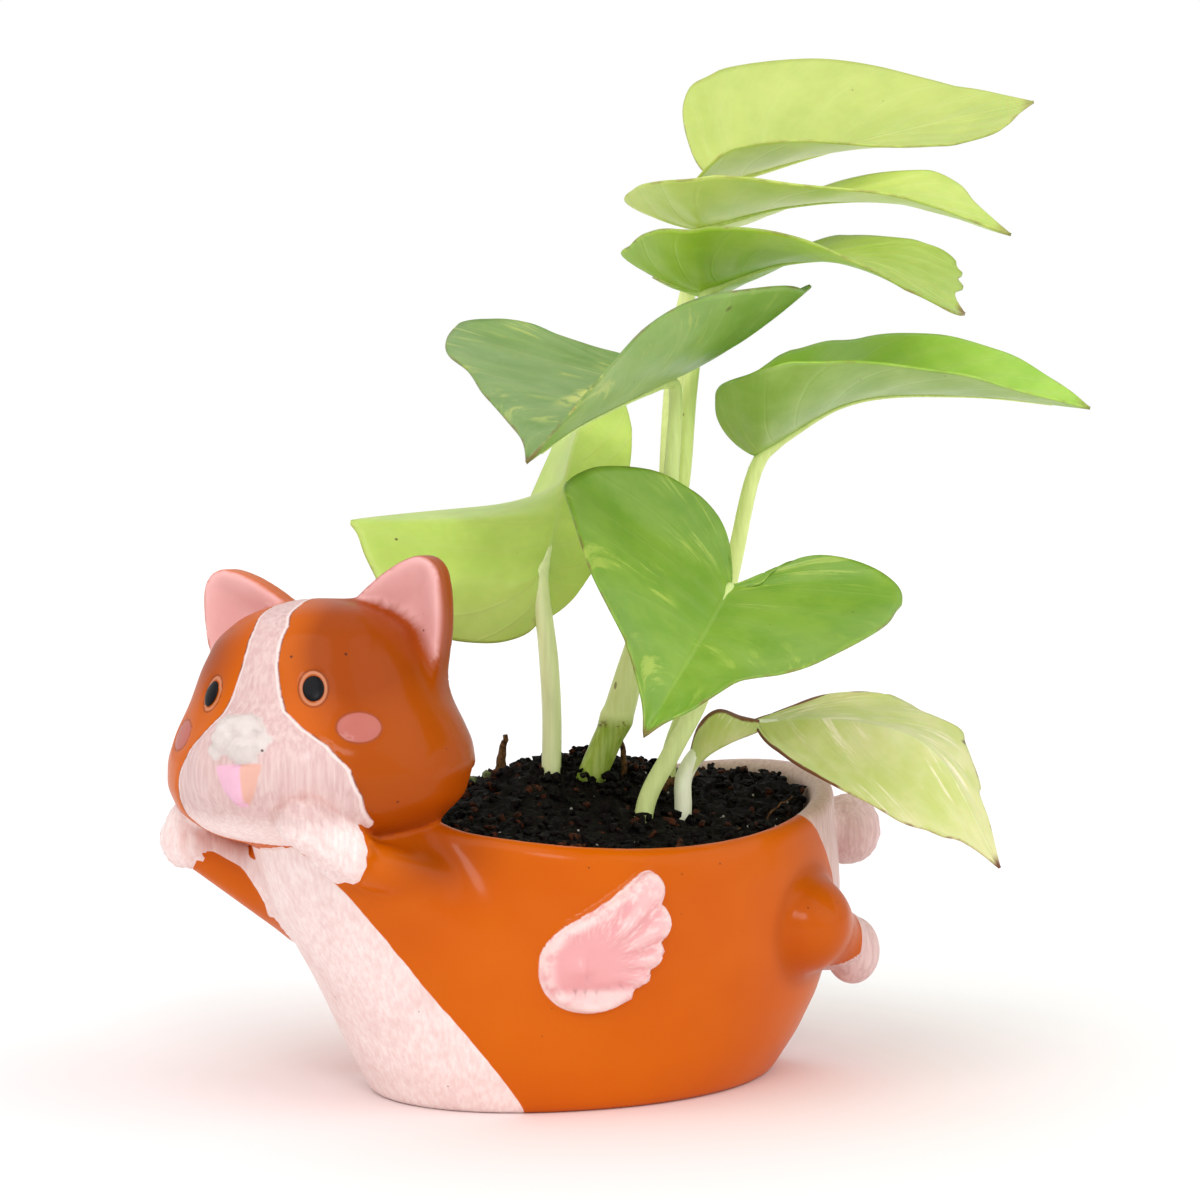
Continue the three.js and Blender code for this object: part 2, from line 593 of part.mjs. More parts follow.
// Middle surface of a blade: u runs from the notch round the edge to the tip,
// and v from the far edge to the near edge
function bladeSurface(leaf) {
  const midrib = new THREE.CatmullRomCurve3(leaf.midrib.map(place));
  const outlines = [halfOutline(leaf.farEdge), halfOutline(leaf.nearEdge)];
  const stations = [leaf.far, leaf.near].map((pair) => pair.map(place));
  const base = midrib.getPoint(0);
  const heading = midrib.getTangent(0).multiplyScalar(midrib.getLength());
  const forward = place([0, 1, 0]);
  const along = (s, half) => {
    if (s >= 0) {
      return midrib.getPoint(Math.min(s, 1));
    }
    const back = base.clone().addScaledVector(heading, s);
    const bend = (-s / leaf.lobe) ** 1.3;
    back.z += leaf.rise[half] * bend;
    return back.addScaledVector(forward, (leaf.tuck ?? 0) * bend);
  };
  const reach = (half, s) => {
    const [wide, slim] = stations[half];
    const atWide = wide.clone().sub(midrib.getPoint(STATION_NEAR));
    const atTip = slim.clone().sub(midrib.getPoint(STATION_TIP)).divideScalar(TIP_SHARE);
    const swing = half === 0 && leaf.swing ? leaf.swing : STATION_TIP - STATION_NEAR;
    const share = THREE.MathUtils.clamp((s - STATION_NEAR) / swing, -swing / TURN_BACK, 1);
    const vector = atWide.lerp(atTip, share);
    vector.z += leaf.cup[half] * THREE.MathUtils.clamp(1 - s / STATION_NEAR, 0, 1) ** 2;
    return vector;
  };
  return (u, v) => {
    const half = v < 0 ? 0 : 1;
    const edge = outlines[half].getPoint(u);
    const across = Math.abs(v);
    const foot = u * u;
    const s = THREE.MathUtils.lerp(foot, edge.x, across);
    const point = along(s, half).addScaledVector(reach(half, Math.max(s, 0)), edge.y * across);
    const upward = reach(1, s).sub(reach(0, s)).cross(midrib.getTangent(THREE.MathUtils.clamp(s, 0, 1)));
    upward.multiplyScalar(Math.sign(upward.z)).normalize();
    const belly = Math.sin(Math.PI * across) * edge.y * BLADE_BELLY;
    return point.addScaledVector(upward, -belly);
  };
}

// Thin closed sheet on both sides of a middle surface, split alike on both faces
function sheet(surface, alongSteps, acrossSteps, thickness) {
  const rows = alongSteps + 1;
  const columns = acrossSteps + 1;
  const middle = [];
  for (let i = 0; i < rows; i += 1) {
    for (let j = 0; j < columns; j += 1) {
      middle.push(surface(i / alongSteps, (j / acrossSteps) * 2 - 1));
    }
  }
  const at = (i, j) => middle[THREE.MathUtils.clamp(i, 0, alongSteps) * columns
    + THREE.MathUtils.clamp(j, 0, acrossSteps)];
  const normalAt = (i, j) => {
    const inner = THREE.MathUtils.clamp(i, 1, alongSteps - 1);
    const du = at(inner + 1, j).clone().sub(at(inner - 1, j));
    const dv = at(inner, j + 1).clone().sub(at(inner, j - 1));
    return du.cross(dv).normalize();
  };
  const upper = [];
  const lower = [];
  for (let i = 0; i < rows; i += 1) {
    const end = i === 0 || i === alongSteps;
    for (let j = 0; j < columns; j += 1) {
      const normal = normalAt(i, end ? acrossSteps / 2 : j);
      upper.push(at(i, j).clone().addScaledVector(normal, thickness / 2));
      lower.push(at(i, j).clone().addScaledVector(normal, -thickness / 2));
    }
  }
  const corners = [];
  const quad = (a, b, c, d) => corners.push(a, b, c, a, c, d);
  const id = (i, j) => i * columns + j;
  for (let i = 0; i < alongSteps; i += 1) {
    for (let j = 0; j < acrossSteps; j += 1) {
      const [a, b, c, d] = [id(i, j), id(i + 1, j), id(i + 1, j + 1), id(i, j + 1)];
      quad(upper[a], upper[b], upper[c], upper[d]);
      corners.push(lower[a], lower[c], lower[b], lower[a], lower[d], lower[c]);
    }
    const last = acrossSteps;
    quad(lower[id(i, 0)], lower[id(i + 1, 0)], upper[id(i + 1, 0)], upper[id(i, 0)]);
    quad(upper[id(i, last)], upper[id(i + 1, last)], lower[id(i + 1, last)], lower[id(i, last)]);
  }
  return new THREE.BufferGeometry().setFromPoints(corners);
}

// Round stalk along a route of hand-placed points
function stalk(points, radius, steps, sides = 8) {
  const path = new THREE.CatmullRomCurve3(points);
  const section = new THREE.Shape();
  section.absarc(0, 0, radius, 0, Math.PI * 2);
  return new THREE.ExtrudeGeometry(section, {
    steps,
    curveSegments: sides / 2,
    bevelEnabled: false,
    extrudePath: path,
  });
}

function leafSolid(leaf) {
  const blade = toSolid(sheet(bladeSurface(leaf), 20, 6, BLADE_THICKNESS));
  const midrib = new THREE.CatmullRomCurve3(leaf.midrib.map(place));
  const route = [...leaf.petiole.map(place), midrib.getPoint(0), midrib.getPoint(0.1)];
  const petiole = toSolid(stalk(route, leaf.radius, 2 * route.length));
  const whole = blade.add(petiole);
  return leaf.curled ? whole.add(toSolid(sheet(curlSurface(), 8, 2, BLADE_THICKNESS))) : whole;
}

function vineSolid(grow = 0) {
  const low = stalk(VINE_LOW.map(place), VINE_RADIUS + grow, 8, 12);
  const high = stalk(VINE_HIGH.map(place), VINE_RADIUS - VINE_TAPER + grow, 8, 12);
  const node = VINE_LOW[VINE_LOW.length - 1];
  const wide = NODE_RADIUS + grow;
  const knuckle = ball(place(node).toArray(), [wide, wide, NODE_HALF_HEIGHT + grow], 14, 8);
  return join([toSolid(low), toSolid(high), toSolid(knuckle)]);
}

// Plain holes in the soil, one for each stem that stands in it
function soilHoles() {
  const holes = LEAVES.filter((leaf) => leaf.petiole[0][2] < 50).map((leaf) => {
    const route = leaf.petiole.slice(0, 3).map(place);
    route[0].z -= 1;
    return toSolid(stalk(route, leaf.radius + GAP, 8));
  });
  return join([...holes, vineSolid(GAP)]);
}

function namedMesh(name, solid, color, roughness) {
  const material = new THREE.MeshStandardMaterial({ color, roughness, metalness: 0 });
  const mesh = new THREE.Mesh(toGeometry(solid), material);
  mesh.name = name;
  return mesh;
}

// The biggest of the bodies that a cut leaves
function largest(solid) {
  return solid.decompose().reduce((best, next) => (next.volume() > best.volume() ? next : best));
}

const plant = new THREE.Group();
plant.add(namedMesh('planter', planterSolid(), 0xe06a14, 0.45));
plant.add(namedMesh('soil', largest(soilSolid().subtract(soilHoles())), 0x1e140f, 0.95));
plant.add(namedMesh('stem_main', vineSolid(), 0xa9c46a, 0.5));
let taken = vineSolid(GAP);
for (const leaf of LEAVES) {
  plant.add(namedMesh(leaf.name, largest(leafSolid(leaf).subtract(taken)), leaf.color, 0.5));
  const lower = leaf.petiole.slice(0, 3).map(place);
  taken = taken.add(toSolid(stalk(lower, leaf.radius + GAP, 8)));
}

export default plant;
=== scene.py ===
"""Potted pothos in a winged puppy planter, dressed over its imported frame.

Shapes are written in millimetres and become metres where a mesh is made. Rows of points are called p in the
planter's axes and q in the head's own axes. Distances to a form are signed, below zero inside it.
"""

import logging
import math
import random
from dataclasses import dataclass
from enum import Enum

import bmesh
import bpy
import numpy as np
from mathutils import Matrix, Vector


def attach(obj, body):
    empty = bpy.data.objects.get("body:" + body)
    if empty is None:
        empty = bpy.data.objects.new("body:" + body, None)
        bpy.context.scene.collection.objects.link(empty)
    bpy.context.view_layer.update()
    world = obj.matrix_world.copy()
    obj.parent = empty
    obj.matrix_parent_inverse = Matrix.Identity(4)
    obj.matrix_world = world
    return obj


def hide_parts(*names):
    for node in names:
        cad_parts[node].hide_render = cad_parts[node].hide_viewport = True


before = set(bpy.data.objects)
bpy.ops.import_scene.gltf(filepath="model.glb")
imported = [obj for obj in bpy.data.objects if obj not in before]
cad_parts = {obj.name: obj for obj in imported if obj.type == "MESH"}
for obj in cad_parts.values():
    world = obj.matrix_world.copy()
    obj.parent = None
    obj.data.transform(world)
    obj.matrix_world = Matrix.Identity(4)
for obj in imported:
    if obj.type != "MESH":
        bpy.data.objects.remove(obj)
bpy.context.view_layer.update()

LOG = logging.getLogger("pothos")
MM = 0.001
SEED = 20
TINY = 1e-9
# Distance kept by points too far from a form to be measured, and by those without a paint mark
FAR_AWAY = 60.0
UNMARKED = 9.0
Points = np.ndarray
Colour = tuple[int, int, int]
Socket = bpy.types.NodeSocket

# The cuttings are arranged in axes turned to their front: right, toward the front, up
FRONT_TURN = math.radians(55)


def place(points: Points) -> Points:
    """Turn points of the arrangement axes into the planter's axes.

    Args:
        points: Rows of right, toward the front, up, in millimetres.

    Returns:
        Rows of X, Y, Z in millimetres.
    """
    p = np.asarray(points, float)
    cos, sin = math.cos(FRONT_TURN), math.sin(FRONT_TURN)
    right, toward, up = p[..., 0], p[..., 1], p[..., 2]
    return np.stack([right * cos + toward * sin, right * sin - toward * cos, up], -1)


def spline(points: Points, shares: Points, closed: bool = False) -> Points:
    """Centripetal spline through control points.

    Args:
        points: Control points, one a row.
        shares: Places along the spline, 0 to 1.
        closed: Whether the last point runs on to the first.

    Returns:
        One point for each share.
    """
    p = np.asarray(points, float)
    spans = len(p) if closed else len(p) - 1
    p = np.vstack([p[-1], p, p[0], p[1]] if closed else [2 * p[0] - p[1], p, 2 * p[-1] - p[-2]])
    t = np.clip(np.asarray(shares, float), 0, 1) * spans
    i = np.minimum(t.astype(int), spans - 1)
    w = (t - i)[:, None]
    p0, p1, p2, p3 = p[i], p[i + 1], p[i + 2], p[i + 3]
    d0, d1, d2 = (np.maximum(np.linalg.norm(b - a, axis=1) ** 0.5, 1e-4)[:, None]
                  for a, b in ((p0, p1), (p1, p2), (p2, p3)))
    m1 = ((p1 - p0) / d0 - (p2 - p0) / (d0 + d1) + (p2 - p1) / d1) * d1
    m2 = ((p2 - p1) / d1 - (p3 - p1) / (d1 + d2) + (p3 - p2) / d2) * d1
    return (p1 + m1 * w + (3 * (p2 - p1) - 2 * m1 - m2) * w ** 2
            + (2 * (p1 - p2) + m1 + m2) * w ** 3)


def smooth_step(value: Points, low: float, high: float) -> Points:
    """Rise softly from 0 at low to 1 at high."""
    t = np.clip((value - low) / (high - low), 0, 1)
    return t * t * (3 - 2 * t)


def ridge(value: Points, width: float) -> Points:
    """Soft bell, 1 where the value is zero and gone a few widths from there."""
    return np.exp(-(value / width) ** 2)


def union(a: Points, b: Points, reach: float) -> Points:
    """Join two signed distances with a fillet of the given reach."""
    h = np.clip(0.5 + 0.5 * (b - a) / reach, 0, 1)
    return b * (1 - h) + a * h - reach * h * (1 - h)


def meet(a: Points, b: Points, reach: float) -> Points:
    """Keep what two signed distances share, with a rounded edge."""
    return -union(-a, -b, reach)


def unit(vectors: Points) -> Points:
    """Vectors of length one."""
    return vectors / np.maximum(np.linalg.norm(vectors, axis=-1, keepdims=True), TINY)


def to_left(p: Points) -> Points:
    """Points with those of the right side mirrored to the left."""
    return np.abs(p) * (1, 0, 0) + p * (0, 1, 1)


def linear(colour: Colour) -> tuple[float, ...]:
    """Turn a display colour of 0 to 255 into a scene-linear colour."""
    shares = (v / 255 for v in colour)
    return (*(v / 12.92 if v <= 0.04045 else ((v + 0.055) / 1.055) ** 2.4 for v in shares), 1.0)


def new_object(name: str, data: bpy.types.ID) -> bpy.types.Object:
    """Put a mesh, curve, light or camera in the scene as an object at the origin."""
    made = bpy.data.objects.new(name, data)
    bpy.context.scene.collection.objects.link(made)
    return made


def to_mesh(bm: bmesh.types.BMesh, name: str) -> bpy.types.Mesh:
    """Make a mesh of a bmesh, which is used up."""
    mesh = bpy.data.meshes.new(name)
    bm.to_mesh(mesh)
    bm.free()
    return mesh


def applied(holder: bpy.types.Object) -> bpy.types.Mesh:
    """Mesh of an object with its modifiers applied; the object is used up."""
    graph = bpy.context.evaluated_depsgraph_get()
    mesh = bpy.data.meshes.new_from_object(holder.evaluated_get(graph))
    bpy.data.objects.remove(holder)
    return mesh


def remeshed(node: str, cell: float) -> bpy.types.Mesh:
    """Copy a solid of the frame in even cells.

    Args:
        node: The solid's node.
        cell: Size of a cell in millimetres.

    Returns:
        The copy, in metres.
    """
    bm = bmesh.new()
    bm.from_mesh(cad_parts[node].data)
    bmesh.ops.remove_doubles(bm, verts=bm.verts, dist=1e-6)
    holder = new_object(node + "_rough", to_mesh(bm, node + "_rough"))
    even = holder.modifiers.new("Even", "REMESH")
    even.mode = "VOXEL"
    even.voxel_size = cell * MM
    return applied(holder)


def set_attribute(mesh: bpy.types.Mesh, name: str, values: Points) -> None:
    """Store one number or one vector a vertex.

    Args:
        mesh: The mesh that gets the attribute.
        name: The name that materials read it by.
        values: One value a vertex, or rows of three.
    """
    kind, key = ("FLOAT", "value") if values.ndim == 1 else ("FLOAT_VECTOR", "vector")
    layer = mesh.attributes.new(name, kind, "POINT")
    layer.data.foreach_set(key, np.ascontiguousarray(values, np.float32).ravel())


def coordinates(mesh: bpy.types.Mesh) -> Points:
    """Read a mesh's vertices in millimetres."""
    flat = np.empty(len(mesh.vertices) * 3, np.float32)
    mesh.vertices.foreach_get("co", flat)
    return flat.reshape(-1, 3).astype(float) / MM


def set_coordinates(mesh: bpy.types.Mesh, points: Points) -> None:
    """Write a mesh's vertices from millimetres."""
    mesh.vertices.foreach_set("co", (points * MM).astype(np.float32).ravel())
    mesh.update()


def stretched(centre: Points, turn: Matrix, sizes: Points) -> Matrix:
    """Matrix that turns a unit ball into an ellipsoid in metres.

    Args:
        centre: Its centre in millimetres.
        turn: Its turn.
        sizes: Its three half sizes in millimetres.

    Returns:
        The matrix.
    """
    scale = Matrix.Diagonal((*(size * MM for size in sizes), 1))
    return Matrix.Translation(Vector(centre) * MM) @ turn.to_4x4() @ scale


def tube(name: str, points: Points, radii: Points, sides: int) -> bpy.types.Mesh:
    """Round stalk with its own thickness at each point, closed at both ends.

    Args:
        name: Name of the mesh.
        points: Route in millimetres.
        radii: Radius at each point in millimetres.
        sides: Sides round the stalk.

    Returns:
        The mesh in metres.
    """
    data = bpy.data.curves.new(name, "CURVE")
    data.dimensions = "3D"
    data.bevel_depth = 1.0
    data.bevel_resolution = sides // 4 - 1
    data.use_fill_caps = True
    route = data.splines.new("POLY")
    route.points.add(len(points) - 1)
    for point, spot, radius in zip(route.points, points, radii):
        point.co = (*(np.asarray(spot) * MM), 1.0)
        point.radius = radius * MM
    mesh = applied(new_object(name, data))
    bpy.data.curves.remove(data)
    return mesh


class Ride(Enum):
    """Bodies of the frame that a piece can ride on."""

    ROOT = "root"


class Slot(Enum):
    """Material slots of the record."""

    RESIN = "painted_resin"
    SOIL = "soil"
    STEM = "stem"
    LIME = "leaf_lime"
    GREEN = "leaf_green"
    DARK = "leaf_dark"
    PALE = "leaf_pale"


def add_piece(name: str, mesh: bpy.types.Mesh, finishes: tuple, slot: Slot, *nodes: str) -> bpy.types.Object:
    """Make a finished piece and tie it to the frame.

    Args:
        name: Name of the piece.
        mesh: Its mesh.
        finishes: Its materials in the order of their slots.
        slot: Material slot of the record; not used.
        nodes: Nodes that the piece stands for.

    Returns:
        The piece.
    """
    piece = new_object(name, mesh)
    for finish in finishes:
        mesh.materials.append(finish)
    for polygon in mesh.polygons:
        polygon.use_smooth = True
    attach(piece, Ride.ROOT.value)
    if nodes:
        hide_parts(*nodes)
    LOG.info("%s: %d faces", piece.name, len(mesh.polygons))
    return piece


class Finish:
    """A node material in the making, with the colour laid on it so far."""

    def __init__(self, name: str, roughness: float) -> None:
        """Start a material on its principled shader.

        Args:
            name: Name of the material.
            roughness: Roughness of the bare surface.
        """
        self.material = bpy.data.materials.new(name)
        self.material.use_nodes = True
        self.tree = self.material.node_tree
        self.shader = self.tree.nodes["Principled BSDF"]
        self.shader.inputs["Roughness"].default_value = roughness
        self.mm = self.millimetres()
        self.colour = None

    def feed(self, socket: Socket, value: object) -> None:
        """Link a socket or set its constant."""
        if isinstance(value, Socket):
            self.tree.links.new(value, socket)
        elif value is not None:
            socket.default_value = value

    def node(self, kind: str, inputs: dict, **settings: object) -> bpy.types.Node:
        """Add a node.

        Args:
            kind: Node type without its ShaderNode prefix.
            inputs: Values or sockets by input name or index.
            settings: Node properties.

        Returns:
            The node.
        """
        made = self.tree.nodes.new("ShaderNode" + kind)
        for name, value in settings.items():
            setattr(made, name, value)
        for name, value in inputs.items():
            self.feed(made.inputs[name], value)
        return made

    def millimetres(self, stretch: tuple = (1, 1, 1)) -> Socket:
        """Object coordinates in millimetres, stretched if asked."""
        coords = self.node("TexCoord", {}).outputs["Object"]
        return self.node("Mapping", {"Vector": coords, "Scale": tuple(s / MM for s in stretch)}).outputs[0]

    def stored(self, name: str, output: str = "Fac") -> Socket:
        """A number stored on the mesh, or its Vector."""
        return self.node("Attribute", {}, attribute_name=name).outputs[output]

    def split(self, vector: Socket) -> list[Socket]:
        """The three numbers of a vector."""
        return list(self.node("SeparateXYZ", {0: vector}).outputs)

    def join(self, x: object, y: object, z: object) -> Socket:
        """A vector of three numbers."""
        return self.node("CombineXYZ", {0: x, 1: y, 2: z}).outputs[0]

    def math(self, operation: str, a: object, b: object = None) -> Socket:
        """One sum on numbers or sockets."""
        return self.node("Math", {0: a} if b is None else {0: a, 1: b}, operation=operation).outputs[0]

    def times(self, first: object, *others: object) -> Socket:
        """Product of numbers or sockets."""
        for other in others:
            first = self.math("MULTIPLY", first, other)
        return first

    def step(self, value: object, low: float, high: float) -> Socket:
        """Rise softly from 0 at low to 1 at high; low may lie above high."""
        falls = low > high
        ends = {"From Min": min(low, high), "From Max": max(low, high), "To Min": float(falls),
                "To Max": float(not falls)}
        return self.node("MapRange", {"Value": value, **ends}, interpolation_type="SMOOTHSTEP").outputs[0]

    def band(self, value: object, middle: float, outer: float, inner: float) -> Socket:
        """Line round a middle value: 1 within the inner half width, 0 beyond the outer one."""
        away = self.math("ABSOLUTE", self.math("SUBTRACT", value, middle))
        return self.step(away, outer, inner)

    def noise(self, vector: Socket, size: float, detail: float, roughness: float = 0.5) -> Socket:
        """Noise from 0 to 1 with features of a size in millimetres."""
        inputs = {"Vector": vector, "Scale": 1.0 / size, "Detail": detail, "Roughness": roughness}
        return self.node("TexNoise", inputs).outputs["Fac"]

    def specks(self, vector: Socket, spacing: float, radius: float) -> Socket:
        """Scattered round specks of uneven size.

        Args:
            vector: Coordinates in millimetres.
            spacing: Usual distance between them in millimetres.
            radius: Largest radius in millimetres, about.

        Returns:
            1 inside each speck, 0 outside.
        """
        cell = self.node("TexVoronoi", {"Vector": vector, "Scale": 1.0 / spacing})
        chance = self.node("SeparateColor", {0: cell.outputs["Color"]})
        reach = self.math("SUBTRACT", self.times(chance.outputs[0], 2.2 * radius / spacing), radius / spacing)
        return self.step(self.math("SUBTRACT", cell.outputs["Distance"], reach), 0.02, -0.02)

    def blend(self, share: object, a: object, b: object) -> Socket:
        """Mix two colours, each a display colour or a socket."""
        a, b = (linear(colour) if isinstance(colour, tuple) else colour for colour in (a, b))
        return self.node("Mix", {0: share, 6: a, 7: b}, data_type="RGBA").outputs[2]

    def lay(self, share: object, colour: object, strength: float = 1.0) -> None:
        """Lay a colour over what is there.

        Args:
            share: Where it covers, 0 to 1.
            colour: Display colour or socket.
            strength: How far it covers there.
        """
        cover = share if strength == 1 else self.times(share, strength)
        self.colour = self.blend(cover, self.colour, colour)

    def relief(self, height: object, depth: float, below: object = None) -> Socket:
        """Bump from a height of 0 to 1 and its depth in millimetres."""
        inputs = {"Height": height, "Distance": depth * MM, "Strength": 1.0, "Normal": below}
        return self.node("Bump", inputs).outputs[0]

    def done(self, normal: object = None, roughness: object = None, **constants: float) -> bpy.types.Material:
        """Wire the shader.

        Args:
            normal: Bumped normal, if any.
            roughness: Roughness, if it varies.
            constants: Further shader inputs by name, with spaces as underscores.

        Returns:
            The finished material.
        """
        for name, value in (("Base Color", self.colour), ("Roughness", roughness), ("Normal", normal)):
            self.feed(self.shader.inputs[name], value)
        for name, value in constants.items():
            self.shader.inputs[name.replace("_", " ")].default_value = value
        return self.material


@dataclass(frozen=True)
class Ball:
    """Ellipsoid by its centre and its three radii."""

    centre: tuple
    radii: tuple

    def distance(self, p: Points) -> Points:
        """Signed distance to its surface."""
        q = (p - self.centre) / self.radii
        size = np.linalg.norm(q, axis=1) + TINY
        return size * (size - 1) / (np.linalg.norm(q / self.radii, axis=1) + TINY)


@dataclass(frozen=True)
class Limb:
    """Round-ended limb that thins along its length."""

    start: tuple
    end: tuple
    start_radius: float
    end_radius: float

    def distance(self, p: Points) -> Points:
        """Signed distance to its surface."""
        along = np.subtract(self.end, self.start)
        share = np.clip((p - self.start) @ along / (along @ along), 0, 1)
        radius = self.start_radius + (self.end_radius - self.start_radius) * share
        return np.linalg.norm(p - self.start - share[:, None] * along, axis=1) - radius


@dataclass(frozen=True)
class Oval:
    """Oval on both sides of the face: degrees from its front, height, half width and half height."""

    bearing: float
    height: float
    half_width: float
    half_height: float

    def distance(self, q: Points) -> Points:
        """Signed distance to its edge along the face.

        Args:
            q: Points in the head's axes.

        Returns:
            Distances.
        """
        around = np.arctan2(np.abs(q[:, 0]), -q[:, 1]) - math.radians(self.bearing)
        x = around * np.hypot(q[:, 0], q[:, 1]) / self.half_width
        z = (q[:, 2] - self.height) / self.half_height
        size = np.hypot(x, z) + TINY
        return (size - 1) * size / (np.hypot(x / self.half_width, z / self.half_height) + TINY)


@dataclass(frozen=True)
class Loft:
    """Form through elliptic rings of half width, half length, centre in Y and height."""

    rings: tuple
    low: float
    high: float
    edge: float = 1.0
    softness: float = 3.0
    run_on: float = 12.0
    grid_step: float = 0.25

    def section(self, height: Points) -> list[Points]:
        """Smoothed ring at some heights.

        Args:
            height: The heights.

        Returns:
            Half width, half length and centre in Y.
        """
        rings = np.array(self.rings, float)
        first, last = rings[0, 3], rings[-1, 3]
        grid = np.arange(first - self.run_on, last + self.run_on, self.grid_step)
        inner = np.clip(grid, first, last)
        over = grid - inner
        kernel = np.hanning(int(2 * self.softness / self.grid_step) | 1)
        kernel /= kernel.sum()
        found = []
        for column in rings.T[:3]:
            before, after = ((column[b] - column[a]) / (rings[b, 3] - rings[a, 3])
                             for a, b in ((0, 1), (-2, -1)))
            line = np.interp(inner, rings[:, 3], column) + np.where(over < 0, before, after) * over
            padded = np.pad(line, len(kernel) // 2, mode="reflect", reflect_type="odd")
            found.append(np.interp(height, grid, np.convolve(padded, kernel, mode="valid")))
        return found

    def wall(self, p: Points) -> Points:
        """Signed distance to the side wall alone."""
        width, length, centre = self.section(p[:, 2])
        width, length = np.maximum(width, 0.5), np.maximum(length, 0.5)
        x, y = p[:, 0] / width, (p[:, 1] - centre) / length
        size = np.hypot(x, y) + TINY
        return (size - 1) * size / (np.hypot(x / width, y / length) + TINY)

    def distance(self, p: Points) -> Points:
        """Signed distance with both ends closed."""
        return meet(self.wall(p), np.maximum(self.low - p[:, 2], p[:, 2] - self.high), self.edge)


def outline_distance(p: Points, outline: Points) -> Points:
    """Signed distance in a plane to a closed outline.

    Args:
        p: Points in the plane.
        outline: Corners of the outline in order.

    Returns:
        Distances, below zero inside.
    """
    nearest = np.full(len(p), np.inf)
    inside = np.zeros(len(p), bool)
    for a, b in zip(outline, np.roll(outline, -1, 0)):
        edge, offset = b - a, p - a
        share = np.clip(offset @ edge / (edge @ edge + 1e-12), 0, 1)
        nearest = np.minimum(nearest, np.sum((offset - share[:, None] * edge) ** 2, axis=1))
        straddles = (a[1] > p[:, 1]) != (b[1] > p[:, 1])
        rise = edge[1] if abs(edge[1]) > TINY else TINY
        inside ^= straddles & (p[:, 0] < a[0] + edge[0] * (p[:, 1] - a[1]) / rise)
    return np.where(inside, -1, 1) * np.sqrt(nearest)


def bezier(corners: tuple, steps: int = 8) -> Points:
    """Points along a chain of quadratic curves.

    Args:
        corners: The start, then each curve's handle and end in turn.
        steps: Steps in each curve.

    Returns:
        The points, with the start.
    """
    found = [np.array(corners[0], float)]
    for handle, end in zip(corners[1::2], corners[2::2]):
        start = found[-1]
        for t in np.linspace(0, 1, steps + 1)[1:]:
            found.append((1 - t) ** 2 * start + 2 * t * (1 - t) * np.array(handle, float)
                         + t ** 2 * np.array(end, float))
    return np.array(found)


